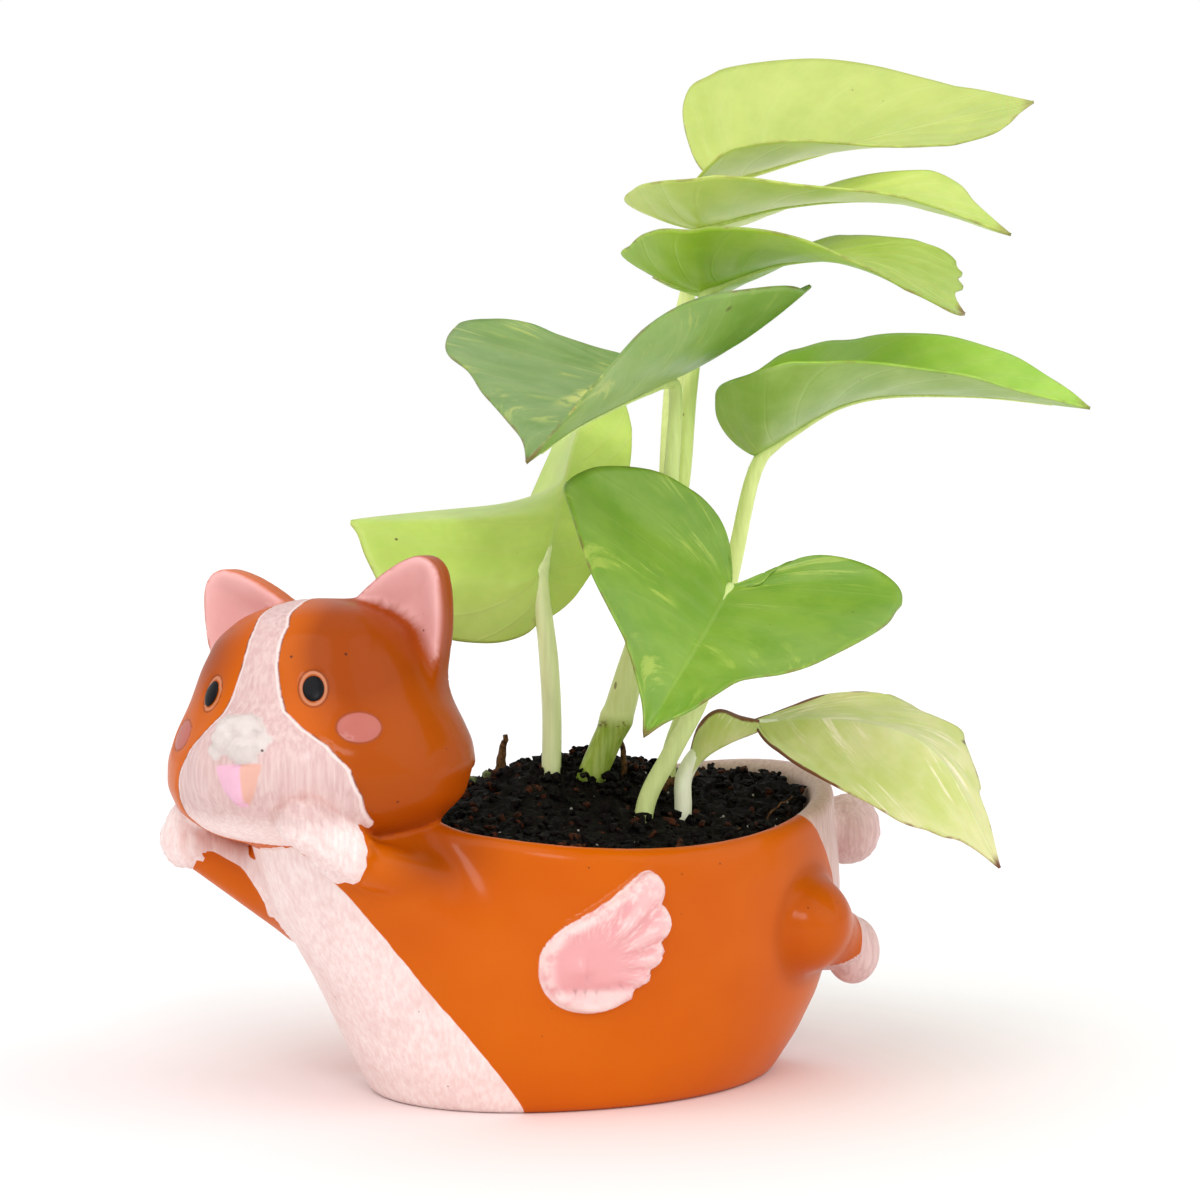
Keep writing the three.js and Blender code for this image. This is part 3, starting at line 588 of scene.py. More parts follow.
@dataclass
class PuppyPlanter:
    """Cast planter: a winged puppy on its belly whose back is the bowl."""

    cell: float = 0.855
    smoothing: int = 4
    rim_height: float = 50.2
    rim_low_y: float = -5.0
    rim_saddle: float = 0.0022
    rim_tilt: float = 0.055
    opening_y: float = 4.2
    opening_half_width: float = 36.6
    drain_y: float = 18.0
    drain_radius: float = 4.0
    drain_top: float = 20.0
    bowl: Loft = Loft((
        (32.2, 42.2, 0, 0), (33, 43, 0, 0.8), (36.2, 46.5, 1.5, 8), (38.6, 49.5, 2.8, 16),
        (40.6, 52, 3.8, 26), (41.4, 53.5, 4.2, 36), (41, 53.2, 4.2, 43), (40.2, 52.4, 4.2, 50),
        (39.8, 52, 4.2, 60),
    ), 0, 90)
    hollow: Loft = Loft((
        (24.5, 34, 1.5, 5), (28.3, 38, 2, 7), (32, 42.5, 3, 14), (35.3, 46.5, 4, 28),
        (36.4, 48, 4.2, 40), (36.6, 48, 4.2, 50), (36.8, 48.4, 4.2, 60),
    ), 5, 64.5, edge=2.0)
    chest: Loft = Loft((
        (22, 22, -17, 1), (25.5, 25, -20.5, 8), (26, 25.5, -25.5, 16), (25, 23.5, -35, 28),
        (24, 20.5, -45, 40), (21, 17.5, -52, 50), (16, 13, -55, 58),
    ), 0, 60)
    rump_lean: float = 1.5
    thigh_ball: Ball = Ball((31.8, 31.2, 32.0), (10.9, 10.6, 9.6))
    shank: Limb = Limb((30.6, 34, 31.8), (27.8, 46.2, 27.2), 7.6, 5.6)
    foot: Ball = Ball((26.6, 50.4, 24.2), (5.8, 5.4, 6.9))
    tail_root: Limb = Limb((0, 50, 46), (0, 65, 46), 7, 4.5)
    tail_ball: Ball = Ball((0, 71.4, 45), (7.2, 7, 7.6))
    near_arm: Limb = Limb((17.5, -43, 43.5), (21.4, -65, 51), 5.4, 4)
    near_paw: Limb = Limb((21.4, -65, 51.5), (20.4, -73, 58), 5, 4.4)
    far_arm: Limb = Limb((-21, -50, 36), (-22, -71, 48.5), 7, 4.6)
    far_toe: Ball = Ball((-21.4, -75.4, 54.6), (3.6, 3.4, 3.4))
    far_paw: Ball = Ball((-22, -75, 50.5), (4.6, 4.5, 5.1))
    knuckle_depth: float = 0.6
    wing_outline: tuple = (
        (-29.5, 28.6), (-28.9, 32.3), (-26.4, 35.6), (-20.7, 39.1), (-15.6, 42.6), (-12.3, 45.6),
        (-9.6, 46), (-8, 43.2), (-7.6, 40.2), (-6.9, 36.6), (-7.8, 32), (-10.4, 26.5),
        (-14.6, 22), (-19.7, 20), (-25.4, 21.2), (-28.7, 24.8),
    )
    wing_root: tuple = (-22.8, 28.0)
    wing_thickness: tuple = (1.3, 2.2)
    feather_turns: float = 8.57
    feather_notch: float = 0.9
    head_centre: tuple = (-0.7, -57.8, 72.0)
    head_turn: float = math.radians(31)
    head_roll: float = math.radians(4)
    skull: Loft = Loft((
        (13, 12, 0, 51), (22, 20, 0, 54), (27.6, 25.6, 0, 58.5), (29.6, 27.3, 0, 63.5),
        (29.2, 27.0, 0, 68.5), (27.2, 25.4, 0, 73.5), (24, 23, 0, 79), (21.4, 20.8, 0, 85),
        (18.2, 17.8, 0, 90.5), (12.4, 12.2, 0, 94.8), (5, 5, 0, 96.8),
    ), 50.5, 97.0, edge=3.0, softness=2.5)
    muzzle: Ball = Ball((0, -21.4, 66.5), (13, 8, 9.5))
    nose: tuple = (
        Ball((-2.4, -26.6, 73.0), (3.9, 3.9, 3.8)), Ball((-4.4, -26.2, 70.6), (2.6, 3.0, 2.4)),
        Ball((1.2, -28.2, 70.4), (2.9, 3.2, 2.6)), Ball((0.6, -27, 74.2), (3.2, 3.2, 2.8)),
        Ball((3.4, -26.4, 71.2), (2.4, 2.8, 2.2)),
    )
    mouth_widths: tuple = ((60.6, 63, 67.8), (1.0, 2.8, 4.6))
    mouth_middle: tuple = (-0.3, -31.2, 64.2)
    face_widths: tuple = ((50, 53, 57, 61, 66, 70.5, 74, 77, 80, 85, 88.5, 92.5, 95.5, 98),
                          (17.5, 18, 18.5, 19.2, 18, 14.5, 10.2, 6.7, 5.2, 3.9, 3.6, 3.7, 3.5, 3.4))
    eye: Oval = Oval(28.5, 80.7, 1.9, 2.5)
    eye_dome: tuple = (1.95, 0.45, 2.5)
    eye_tilt: float = -0.42
    cheek: Oval = Oval(46, 73.2, 4.1, 2.7)
    ear_outline: tuple = (
        (6.5, 94), (14.5, 101), (20.5, 102.4), (24.4, 103), (24.6, 97.5), (25.2, 86), (20, 77),
        (16, 79), (12, 82), (8, 88), (6.5, 94),
    )
    ear_growth: float = 1.3
    ear_front: float = 3.0
    ear_back: float = 8.8
    ear_cup: float = 3.5
    pale_paws_y: tuple = (-63.3, -74.5)
    pale_rump: tuple = ((38, 40.4, 44.6, 49.8, 53.5, 55.7, 58), (43.6, 42.8, 40.6, 36.8, 32.1, 25.4, 12))
    pale_far_arm: tuple = ((-71.7, -66, -59.3), (48.5, 45.1, 34.7))

    def rim(self, p: Points) -> Points:
        """Height of the rim over a point."""
        return (self.rim_height + self.rim_saddle * (p[:, 1] - self.rim_low_y) ** 2
                + self.rim_tilt * (self.opening_half_width - p[:, 0]))

    def head_axes(self) -> Matrix:
        """Turn of the head from its own axes to the planter's."""
        return Matrix.Rotation(self.head_turn, 3, "Z") @ Matrix.Rotation(-self.head_roll, 3, "Y")

    def to_head(self, p: Points) -> Points:
        """Points of the planter in the head's own axes."""
        q = (p - np.array(self.head_centre)) @ np.array(self.head_axes())
        return q + (0, 0, self.head_centre[2])

    def ear_faces(self, q: Points, side: int) -> tuple[Points, Points]:
        """Outline and cupped front of one ear.

        Args:
            q: Points in the head's axes.
            side: 1 for the left ear, -1 for the right one.

        Returns:
            Signed distance to its outline, seen from its front, and the Y of its front face.
        """
        flat = np.stack([q[:, 0] * side, q[:, 2]], 1)
        edge = outline_distance(flat, bezier(self.ear_outline)[:-1]) - self.ear_growth
        return edge, self.ear_front + self.ear_cup * smooth_step(-edge, 0.4, 8.0)

    def ear(self, q: Points, side: int) -> Points:
        """Signed distance to one ear, in the head's axes."""
        edge, front = self.ear_faces(q, side)
        return meet(edge, meet(front - q[:, 1], q[:, 1] - self.ear_back, 1.5), 1.2)

    def face(self, q: Points) -> Points:
        """Signed distance to the pale patch of the face.

        Args:
            q: Points in the head's axes.

        Returns:
            Distances.
        """
        middle = np.interp(q[:, 2], (92, 97), (0, -2.0))
        edge = np.abs(q[:, 0] - middle) - np.interp(q[:, 2], *self.face_widths)
        return np.maximum(edge, q[:, 1] - np.interp(q[:, 2], (56, 64), (-14, 1)))

    def noses(self, q: Points) -> Points:
        """Signed distance to the lumps of the nose."""
        lumps = 0.5 * np.sin(1.7 * q[:, 0] + 1) * np.sin(1.9 * q[:, 2] + 0.6 * q[:, 1])
        return np.minimum.reduce([ball.distance(q) for ball in self.nose]) + lumps

    def mouth(self, q: Points) -> Points:
        """Signed distance to the mouth, a small wedge that narrows downward.

        Args:
            q: Points in the head's axes.

        Returns:
            Distances.
        """
        x, y, z = self.mouth_middle
        half_width = np.interp(q[:, 2], *self.mouth_widths)
        across = np.abs(q[:, 0] - x)
        front = y - q[:, 1] + 1.7 * across / half_width
        return meet(meet(front * 0.8, across - half_width, 0.6), np.abs(q[:, 2] - z) - 3.5, 0.8)

    def head(self, p: Points) -> Points:
        """Signed distance to the head with its face.

        Args:
            p: Points in the planter's axes.

        Returns:
            Distances, FAR_AWAY for points that aren't near it.
        """
        found = np.full(len(p), FAR_AWAY)
        near = np.linalg.norm(p - self.head_centre - (0, 0, 4), axis=1) < 46
        q = self.to_head(p[near])
        d = union(self.skull.distance(q), self.muzzle.distance(q), 4.5)
        for side in (1, -1):
            d = union(d, self.ear(q, side), 4.4)
        d = union(union(d, self.noses(q), 0.9), self.mouth(q), 0.5)
        engraved = (0.3 * ridge(self.face(q), 0.5) + 0.4 * ridge(self.eye.distance(q) - 0.6, 0.5)
                    + 0.35 * ridge(self.cheek.distance(q) - 0.1, 0.4))
        found[near] = d + engraved * (q[:, 1] < -6)
        return found

    def fan(self, p: Points) -> tuple[Points, Points]:
        """Turn round the wing's root and distance from it, seen from the side."""
        y, z = p[:, 1] - self.wing_root[0], p[:, 2] - self.wing_root[1]
        return np.arctan2(z, y), np.hypot(y, z)

    def feather_tips(self, p: Points) -> tuple[Points, Points]:
        """Rounded backs of the fanned feathers.

        Args:
            p: Points on the flank.

        Returns:
            How near each lies to the back of a feather, and how strongly feathers show there.
        """
        turn, reach = self.fan(p)
        shown = smooth_step(reach, 4, 11) * smooth_step(turn, -0.75, -0.45) * smooth_step(-turn, -1.15, -0.95)
        return np.abs(np.sin(self.feather_turns * turn + 0.3)), shown

    def wing_edges(self, p: Points) -> tuple[Points, Points]:
        """Outline of a wing seen from the side.

        Args:
            p: Points on the flank.

        Returns:
            Signed distances to the plain outline and to the one notched between feathers.
        """
        edge = outline_distance(p[:, 1:], spline(self.wing_outline, np.linspace(0, 1, 60)[:-1], closed=True))
        tips, shown = self.feather_tips(p)
        return edge, edge + self.feather_notch * (1 - tips) ** 2 * shown

    def feathers(self, p: Points, edge: Points) -> Points:
        """How far the wings stand proud: feathers, a knob, a crease and a lower fold.

        Args:
            p: Points on the flank.
            edge: Signed distance to the plain outline.

        Returns:
            The height at each point.
        """
        y, z = p[:, 1], p[:, 2]
        tips, shown = self.feather_tips(p)
        low, high = self.wing_thickness
        thick = low + (high - low) * smooth_step(y, -30, -18)
        knob = 1.2 * np.exp(-((y + 24.2) ** 2 + (z - 28.4) ** 2) / 3.5)
        crease = 1.3 * ridge(y + 22, 0.7) * ridge(z - 27.8, 2.4)
        rim = 0.3 * ridge(edge + 1.0, 0.8)
        fold = 0.9 * ridge(z - 24.4 - 0.06 * (y + 20), 0.8) * (y < -12)
        return thick + (1.3 * tips - 0.7) * shown + knob + rim - crease - fold

    def wing(self, p: Points) -> Points:
        """Signed distance to both wings, folded flat on the flanks.

        Args:
            p: Points in the planter's axes.

        Returns:
            Distances, FAR_AWAY for points that aren't near them.
        """
        found = np.full(len(p), FAR_AWAY)
        near = (p[:, 1] > -38) & (p[:, 1] < -2) & (p[:, 2] > 14) & (p[:, 2] < 52)
        plain, notched = self.wing_edges(p[near])
        found[near] = meet(notched, self.bowl.wall(p[near]) - self.feathers(p[near], plain), 1.2)
        return found

    def forelegs(self, d: Points, p: Points) -> Points:
        """Add the forelegs, folded up under the chin.

        Args:
            d: Signed distances to the body so far.
            p: Points in the planter's axes.

        Returns:
            Signed distances with the forelegs.
        """
        x, y, z = p.T
        near_toes = self.knuckle_depth * np.abs(np.sin(1.05 * (z - 55) + 0.75 * (y + 69)))
        far_toes = self.knuckle_depth * np.abs(np.sin(0.95 * (x + 22) + 0.5 * (y + 75)))
        rough = 0.25 * np.sin(2.3 * x + 1.9 * y) * np.sin(2.1 * z)
        for form, reach in ((self.near_arm.distance(p), 1.4), (self.far_arm.distance(p), 5),
                            (self.near_paw.distance(p) - near_toes + rough, 1.2),
                            (self.far_toe.distance(p) + rough, 1.0),
                            (self.far_paw.distance(p) - far_toes + rough, 1.2)):
            d = union(d, form, reach)
        return d

    def thigh(self, p: Points) -> Points:
        """Signed distance to the left hind leg without its foot."""
        return union(self.thigh_ball.distance(p), self.shank.distance(p), 6)

    def body(self, p: Points) -> Points:
        """Signed distance to the bowl, chest, limbs, wings and tail.

        Args:
            p: Points in the planter's axes.

        Returns:
            Distances.
        """
        left = to_left(p)
        lean = self.rump_lean * smooth_step(p[:, 1], 20, 52)
        pits = 0.14 * np.sin(1.9 * p[:, 0] + 1.1 * p[:, 1]) * np.sin(1.7 * p[:, 2] + 0.6 * p[:, 1])
        d = meet(self.bowl.wall(p - lean[:, None] * (0, 1, 0)), p[:, 2] - self.rim(p), 3.0)
        d = self.forelegs(union(d, self.chest.distance(p), 9), p)
        for form, reach in ((self.thigh(left), 2.2), (self.foot.distance(left), 0.7),
                            (self.tail_root.distance(p), 3), (self.tail_ball.distance(p) + pits, 1.8),
                            (self.wing(p), 0.7)):
            d = union(d, form, reach)
        return meet(d, -p[:, 2], 1.0)

    def distance(self, p: Points) -> Points:
        """Signed distance to the whole planter.

        Args:
            p: Points in the planter's axes.

        Returns:
            Distances.
        """
        drain = np.hypot(p[:, 0], p[:, 1] - self.drain_y) - self.drain_radius
        d = meet(union(self.body(p), self.head(p), 3.2), -self.hollow.distance(p), 2.4)
        return meet(d, -np.maximum(drain, p[:, 2] - self.drain_top), 0.8)

    def settle(self, p: Points, rounds: int) -> Points:
        """Move points onto the smooth form.

        Args:
            p: Points near it.
            rounds: Steps to take.

        Returns:
            The moved points.
        """
        h = 0.05
        for _ in range(rounds):
            here = self.distance(p)
            slope = np.stack([(self.distance(p + axis * h) - here) / h for axis in np.eye(3)], 1)
            steepness = np.maximum(np.sum(slope ** 2, axis=1), 0.15)
            p = p - np.clip(here / steepness, -0.8, 0.8)[:, None] * slope
            p[:, 2] = np.maximum(p[:, 2], 0)
        return p

    def pale(self, p: Points) -> Points:
        """Signed distance to the pale paint of the bib, paws, rump, tail and feet.

        Args:
            p: Points in the planter's axes.

        Returns:
            Distances.
        """
        x, y, z = p.T
        left = to_left(p)
        near_y, far_y = self.pale_paws_y
        bib = (y + 27.9 + 0.78 * z) / 1.27
        bib = np.where((self.near_arm.distance(p) < 0.8) & (x > 0), y - near_y, bib)
        upper_side = np.interp(y, *self.pale_far_arm) - z
        far = np.minimum(np.maximum(upper_side, -24 - x), y - far_y)
        bib = np.where((self.far_arm.distance(p) < 0.8) & (x < 0), far, bib)
        paw = np.where((z > 44) & (left[:, 0] > 12), y - np.where(x > 0, near_y, far_y), UNMARKED)
        thigh = self.thigh(left)
        rump = np.maximum(np.interp(z, *self.pale_rump) - y, 0.8 - thigh)
        tail = np.where((left[:, 0] < 16) & (z > 30), 54 - y, UNMARKED)
        foot = 47.4 - 1.5 * np.maximum(24.5 - z, 0) - y
        foot = np.maximum(foot, np.minimum(thigh, self.foot.distance(left)) - 0.8)
        return np.minimum.reduce([bib, paw, rump, tail, foot])

    def darker_orange_and_shade(self, p: Points, q: Points, on_head: Points) -> Points:
        """Where the orange is darker: forehead, cranium and shoulders, with painted shade in the hollow round the
        thighs.

        Args:
            p: Points in the planter's axes.
            q: The same points in the head's axes.
            on_head: Which of them lie on the head.

        Returns:
            Shares, 0 to 1.
        """
        left = to_left(p)
        forehead = ridge(np.abs(q[:, 0]) - 14, 8) * ridge(q[:, 2] - 88, 8) * on_head
        cranium = 0.8 * on_head * smooth_step(q[:, 0] + 0.6 * q[:, 1], -6, 8)
        shoulder = ridge(left[:, 0] - 24, 8) * ridge(p[:, 1] + 46, 9) * ridge(p[:, 2] - 50, 6)
        # Painted shade in the hollow where the thighs meet the bowl
        hollow = 0.4 * ridge(self.thigh(left) - 1.2, 1.8) * (p[:, 1] > 12)
        return np.clip(forehead + shoulder + cranium + hollow, 0, 1)

    def inner_ears(self, q: Points) -> Points:
        """Share of pink in the ears.

        Args:
            q: Points in the head's axes.

        Returns:
            Shares, 0 to 1.
        """
        found = np.zeros(len(q))
        for side in (1, -1):
            edge, front = self.ear_faces(q, side)
            found = np.maximum(found, smooth_step(-edge, -0.1, 0.5) * smooth_step(q[:, 1] - front, 3.4, 1.6))
        return found * smooth_step(self.skull.distance(q), 0.8, 4.4)

    def paint(self, mesh: bpy.types.Mesh, p: Points) -> None:
        """Store where each colour lies.

        Args:
            mesh: Mesh that gets the attributes.
            p: Its vertices in millimetres.
        """
        q = self.to_head(p)
        head, body = self.head(p), self.body(p)
        on_head = head < body
        on_front = on_head & (q[:, 1] < 0)
        on_wing = (self.wing(p) < 2.5) & (self.bowl.wall(p) > -1) & (p[:, 2] < 50)
        wing = np.full(len(p), UNMARKED)
        wing[on_wing] = self.wing_edges(p[on_wing])[1]
        tips, shown = self.feather_tips(p)
        turn, reach = self.fan(p)
        paws = np.minimum(self.near_paw.distance(p), self.far_paw.distance(p) - 0.3)
        # Nearness to the joins of head, body and paws, for the painted shade in the creases
        crease_shade_distance = np.maximum(0, np.minimum(np.maximum(head, body), np.maximum(paws, head)))
        marks = {
            "pale": np.where(on_head, self.face(q), self.pale(p)),
            "wing": wing,
            "feather": np.where(on_wing, tips * shown, 0.0),
            "barbs": np.stack([9 * turn, 0.22 * reach, 0 * turn], 1),
            "ear": np.where(on_head, self.inner_ears(q), 0.0),
            "eye": np.where(on_front, self.eye.distance(q), UNMARKED),
            "cheek": np.where(on_front, self.cheek.distance(q), UNMARKED),
            "mouth": np.where(on_head, self.mouth(q), UNMARKED),
            "nose": np.where(on_head, self.noses(q), UNMARKED),
            # Painted shade where the head meets the body and where the paws meet the head
            "crease": ridge(crease_shade_distance, 1.1),
            "sideways": np.where(on_head, q[:, 0], 0.0),
            "darker_orange_and_shade": self.darker_orange_and_shade(p, q, on_head),
        }
        for name, values in marks.items():
            set_attribute(mesh, name, values)

    def build(self) -> None:
        """Make the planter and tie it to the frame."""
        mesh = remeshed("planter", self.cell)
        set_coordinates(mesh, self.settle(coordinates(mesh), 4))
        bm = bmesh.new()
        bm.from_mesh(mesh)
        for _ in range(self.smoothing):
            bmesh.ops.smooth_vert(bm, verts=bm.verts, factor=0.5, use_axis_x=True, use_axis_y=True,
                                  use_axis_z=True)
        bm.to_mesh(mesh)
        bm.free()
        points = self.settle(coordinates(mesh), 3)
        set_coordinates(mesh, points)
        self.paint(mesh, points)
        add_piece("planter_cast", mesh, (CastPaint().build(),), Slot.RESIN, "planter")
        self.eyes()

    def eyes(self) -> None:
        """Add the two glossy black eyes, each a flat dome on the surface."""
        black = EyeBlack().build()
        axes = np.array(self.head_axes())
        for name, side in (("planter_eye_left", 1), ("planter_eye_right", -1)):
            bearing = side * math.radians(self.eye.bearing)
            outward = np.array((math.sin(bearing), -math.cos(bearing), 0.0))
            inside = outward * 22.6 + (0, 0, self.eye.height - self.head_centre[2])
            spot = self.settle((inside @ axes.T + self.head_centre)[None], 5)[0]
            turn = self.head_axes() @ Matrix.Rotation(bearing, 3, "Z") @ Matrix.Rotation(self.eye_tilt, 3, "X")
            bm = bmesh.new()
            bmesh.ops.create_uvsphere(bm, u_segments=40, v_segments=20, radius=1)
            bmesh.ops.transform(bm, matrix=stretched(spot, turn, self.eye_dome), verts=bm.verts)
            add_piece(name, to_mesh(bm, name), (black,), Slot.RESIN)


@dataclass(frozen=True)
class EyeBlack:
    """Glossy black paint of the eyes."""

    dark: Colour = (6, 6, 8)
    light: Colour = (20, 19, 24)

    def build(self) -> bpy.types.Material:
        """Make the material."""
        f = Finish("eye_black", 0.3)
        f.colour = f.blend(f.noise(f.mm, 0.8, 3), self.dark, self.light)
        return f.done(Specular_IOR_Level=0.12)


@dataclass(frozen=True)
class CastPaint:
    """Hand-brushed orange and pale pink paint on the cast planter, with painted light and shade laid in it.

    Colours in pairs are mixed by a noise.
    """

    orange: tuple = ((194, 80, 0), (214, 106, 0))
    # Darker orange of forehead, cranium and shoulders, also used for the painted shade round the thighs
    darker_orange_and_shade: Colour = (146, 58, 2)
    # Lighter pale at the front of the body is painted light for the floor's bounce; the other pair is the plain
    # pale
    pale_bounce_lit: tuple = ((240, 214, 210), (250, 234, 230))
    pale_rest: tuple = ((208, 172, 169), (224, 196, 192))
    pale_cloud: Colour = (222, 184, 180)
    # Painted highlight along the engraved edge of the face's pale patch
    pale_border_highlight: Colour = (250, 238, 232)
    pale_line: Colour = (116, 60, 42)
    ear: tuple = ((230, 166, 162), (242, 188, 185))
    cheek: Colour = (186, 106, 95)
    cheek_line: Colour = (150, 70, 40)
    # Painted highlight in the engraved ring round each eye
    eye_ring_highlight: Colour = (206, 140, 106)
    lid_line: Colour = (120, 56, 30)
    nose: tuple = ((206, 192, 187), (232, 221, 216))
    lips: tuple = ((234, 182, 202), (226, 174, 158))
    wing: Colour = (230, 164, 165)
    wing_rim: Colour = (240, 212, 208)
    wing_back: Colour = (244, 210, 208)
    wing_barbs: Colour = (242, 218, 214)
    wing_shelf: Colour = (244, 222, 218)
    # Painted shade in the creases between head, body and paws
    crease: Colour = (178, 84, 52)
    grime: Colour = (70, 34, 24)

    def coat(self, f: Finish, streaks: Socket, cloud: Socket) -> None:
        """Lay the orange with its darker patches and painted shade, and the pale paint with its painted light,
        painted highlight and the line between them.

        Args:
            f: The material.
            streaks: Noise of the brush.
            cloud: Noise of the paint's thickness.
        """
        _, y, height = f.split(f.mm)
        on_head = f.step(height, 55, 60)
        streaked = f.step(streaks, 0.3, 0.7)
        front, rest = (f.blend(streaked, *pair) for pair in (self.pale_bounce_lit, self.pale_rest))
        # Painted light: away from the head, the front takes the lighter pale
        pale = f.blend(f.math("MAXIMUM", on_head, f.step(y, -30, -10)), front, rest)
        pale = f.blend(f.times(f.step(cloud, 0.4, 0.75), 0.35), pale, self.pale_cloud)
        wobble = f.times(f.math("SUBTRACT", f.noise(f.mm, 4, 2), 0.5), 0.5)
        edge = f.math("ADD", f.stored("pale"), wobble)
        broken = f.times(f.step(f.noise(f.mm, 2.2, 3), 0.35, 0.55), 0.65)
        f.colour = f.blend(f.noise(f.mm, 26, 2), *self.orange)
        # Darker orange patches, with the painted shade round the thighs
        f.lay(f.stored("darker_orange_and_shade"), self.darker_orange_and_shade, 0.85)
        f.lay(f.step(edge, 0.1, -0.1), pale)
        # Painted highlight just inside the engraved edge of the pale patch on the head
        f.lay(f.times(f.band(edge, -0.42, 0.3, 0.1), on_head), self.pale_border_highlight, 0.5)
        f.lay(f.times(f.band(edge, 0.0, 0.24, 0.06), on_head, broken), self.pale_line)

    def face(self, f: Finish, cloud: Socket) -> None:
        """Lay the ears, cheeks, the painted highlight and the line round the eyes, the nose and the mouth.

        Args:
            f: The material.
            cloud: Noise of the paint's thickness.
        """
        f.lay(f.stored("ear"), f.blend(cloud, *self.ear))
        f.lay(f.step(f.stored("cheek"), 0.05, -0.1), self.cheek)
        f.lay(f.band(f.stored("cheek"), 0.1, 0.35, 0.1), self.cheek_line, 0.6)
        # Painted highlight in the engraved ring round the eye
        f.lay(f.band(f.stored("eye"), 0.35, 0.4, 0.1), self.eye_ring_highlight, 0.75)
        f.lay(f.band(f.stored("eye"), 0.85, 0.25, 0.05), self.lid_line, 0.6)
        f.lay(f.step(f.stored("nose"), 0.7, 0.1), f.blend(cloud, *self.nose))
        f.lay(f.step(f.stored("mouth"), 0.6, 0.2), f.blend(f.step(f.stored("sideways"), 0.6, 1.1), *self.lips))

    def plume(self, f: Finish, cloud: Socket) -> None:
        """Lay the wings' pink with its rim, feather backs, brush strokes and lower shelf.

        Args:
            f: The material.
            cloud: Noise of the paint's thickness.
        """
        beneath, edge = f.colour, f.stored("wing")
        rough_edge = f.math("ADD", edge, f.times(f.math("SUBTRACT", cloud, 0.5), 1.6))
        rim = f.times(f.step(rough_edge, -2.6, -0.2), f.step(f.noise(f.mm, 2.4, 4, 0.6), 0.3, 0.6))
        strokes = f.stored("barbs", "Vector")
        barbs = f.times(f.step(f.noise(strokes, 0.55, 4, 0.6), 0.45, 0.7), f.step(f.split(strokes)[1], 0.8, 2.4))
        shelf = f.times(f.step(f.split(f.mm)[2], 25.2, 23.6), f.step(cloud, 0.3, 0.6))
        f.colour = f.blend(rim, self.wing, self.wing_rim)
        f.lay(f.step(f.stored("feather"), 0.45, 0.95), self.wing_back, 0.4)
        f.lay(barbs, self.wing_barbs, 0.65)
        f.lay(shelf, self.wing_shelf, 0.6)
        f.colour = f.blend(f.step(edge, 0.35, 0.1), beneath, f.colour)

    def build(self) -> bpy.types.Material:
        """Make the material.

        Returns:
            The finished material.
        """
        f = Finish("cast_paint", 0.38)
        streaks = f.noise(f.millimetres((1.6, 1.6, 0.16)), 1.3, 4, 0.55)
        cloud = f.noise(f.mm, 7, 4, 0.6)
        self.coat(f, streaks, cloud)
        self.face(f, cloud)
        self.plume(f, cloud)
        # Painted shade in the creases, broken up by a noise
        f.lay(f.times(f.stored("crease"), f.step(f.noise(f.mm, 2.5, 3), 0.2, 0.6)), self.crease, 0.55)
        f.lay(f.specks(f.mm, 4.6, 0.26), self.grime, 0.85)
        worn = f.times(f.step(f.stored("pale"), 0.5, -0.5), 0.2)
        roughness = f.math("ADD", f.math("ADD", worn, 0.3), f.times(cloud, 0.12))
        brushed = f.relief(f.times(streaks, f.step(f.stored("pale"), 0.2, -0.6)), 0.035)
        normal = f.relief(f.noise(f.mm, 0.8, 3), 0.02, brushed)
        return f.done(normal, roughness, Coat_Weight=0.2, Coat_Roughness=0.14, Specular_IOR_Level=0.05)


@dataclass(frozen=True)
class LeafColours:
    """Colours of one leaf; each face has two that a noise mixes."""

    upper: tuple
    under: tuple
    rib: Colour
    stalk: Colour
    fleck: Colour = (214, 226, 120)
    flecks: float = 0.0
    brown: float = 0.3


@dataclass(frozen=True)
class Streak:
    """Broad pale streak: its middle and half length as shares of the midrib, its offset and half width."""

    middle: float
    length: float
    offset: float
    width: float


@dataclass(frozen=True)
class Leaf:
    """One leaf: its midrib, the reach of each half, its outline and its petiole.

    The far and near points are on the edge at two stations of the midrib. The edges run from the sinus to the tip
    in shares of the midrib and of full width. Pairs hold a value for the far half and one for the near half.
    """

    name: str
    slot: Slot
    colours: LeafColours
    radius: float
    midrib: tuple
    far: tuple
    near: tuple
    petiole: tuple
    far_edge: tuple
    near_edge: tuple
    lobe: float = 0.2
    rise: tuple = (4.0, 4.0)
    cup: tuple = (2.0, 2.0)
    tuck: float = 0.0
    swing: float = 0.42
    wave: float = 0.5
    streak: Streak | None = None
    curled: bool = False


# Stations of the midrib where the reach is known, the width at the second, and how fast it turns before the first
STATION_NEAR = 0.33
STATION_TIP = 0.75
TIP_SHARE = 0.58
TURN_BACK = 0.6
VEINS = 9.0

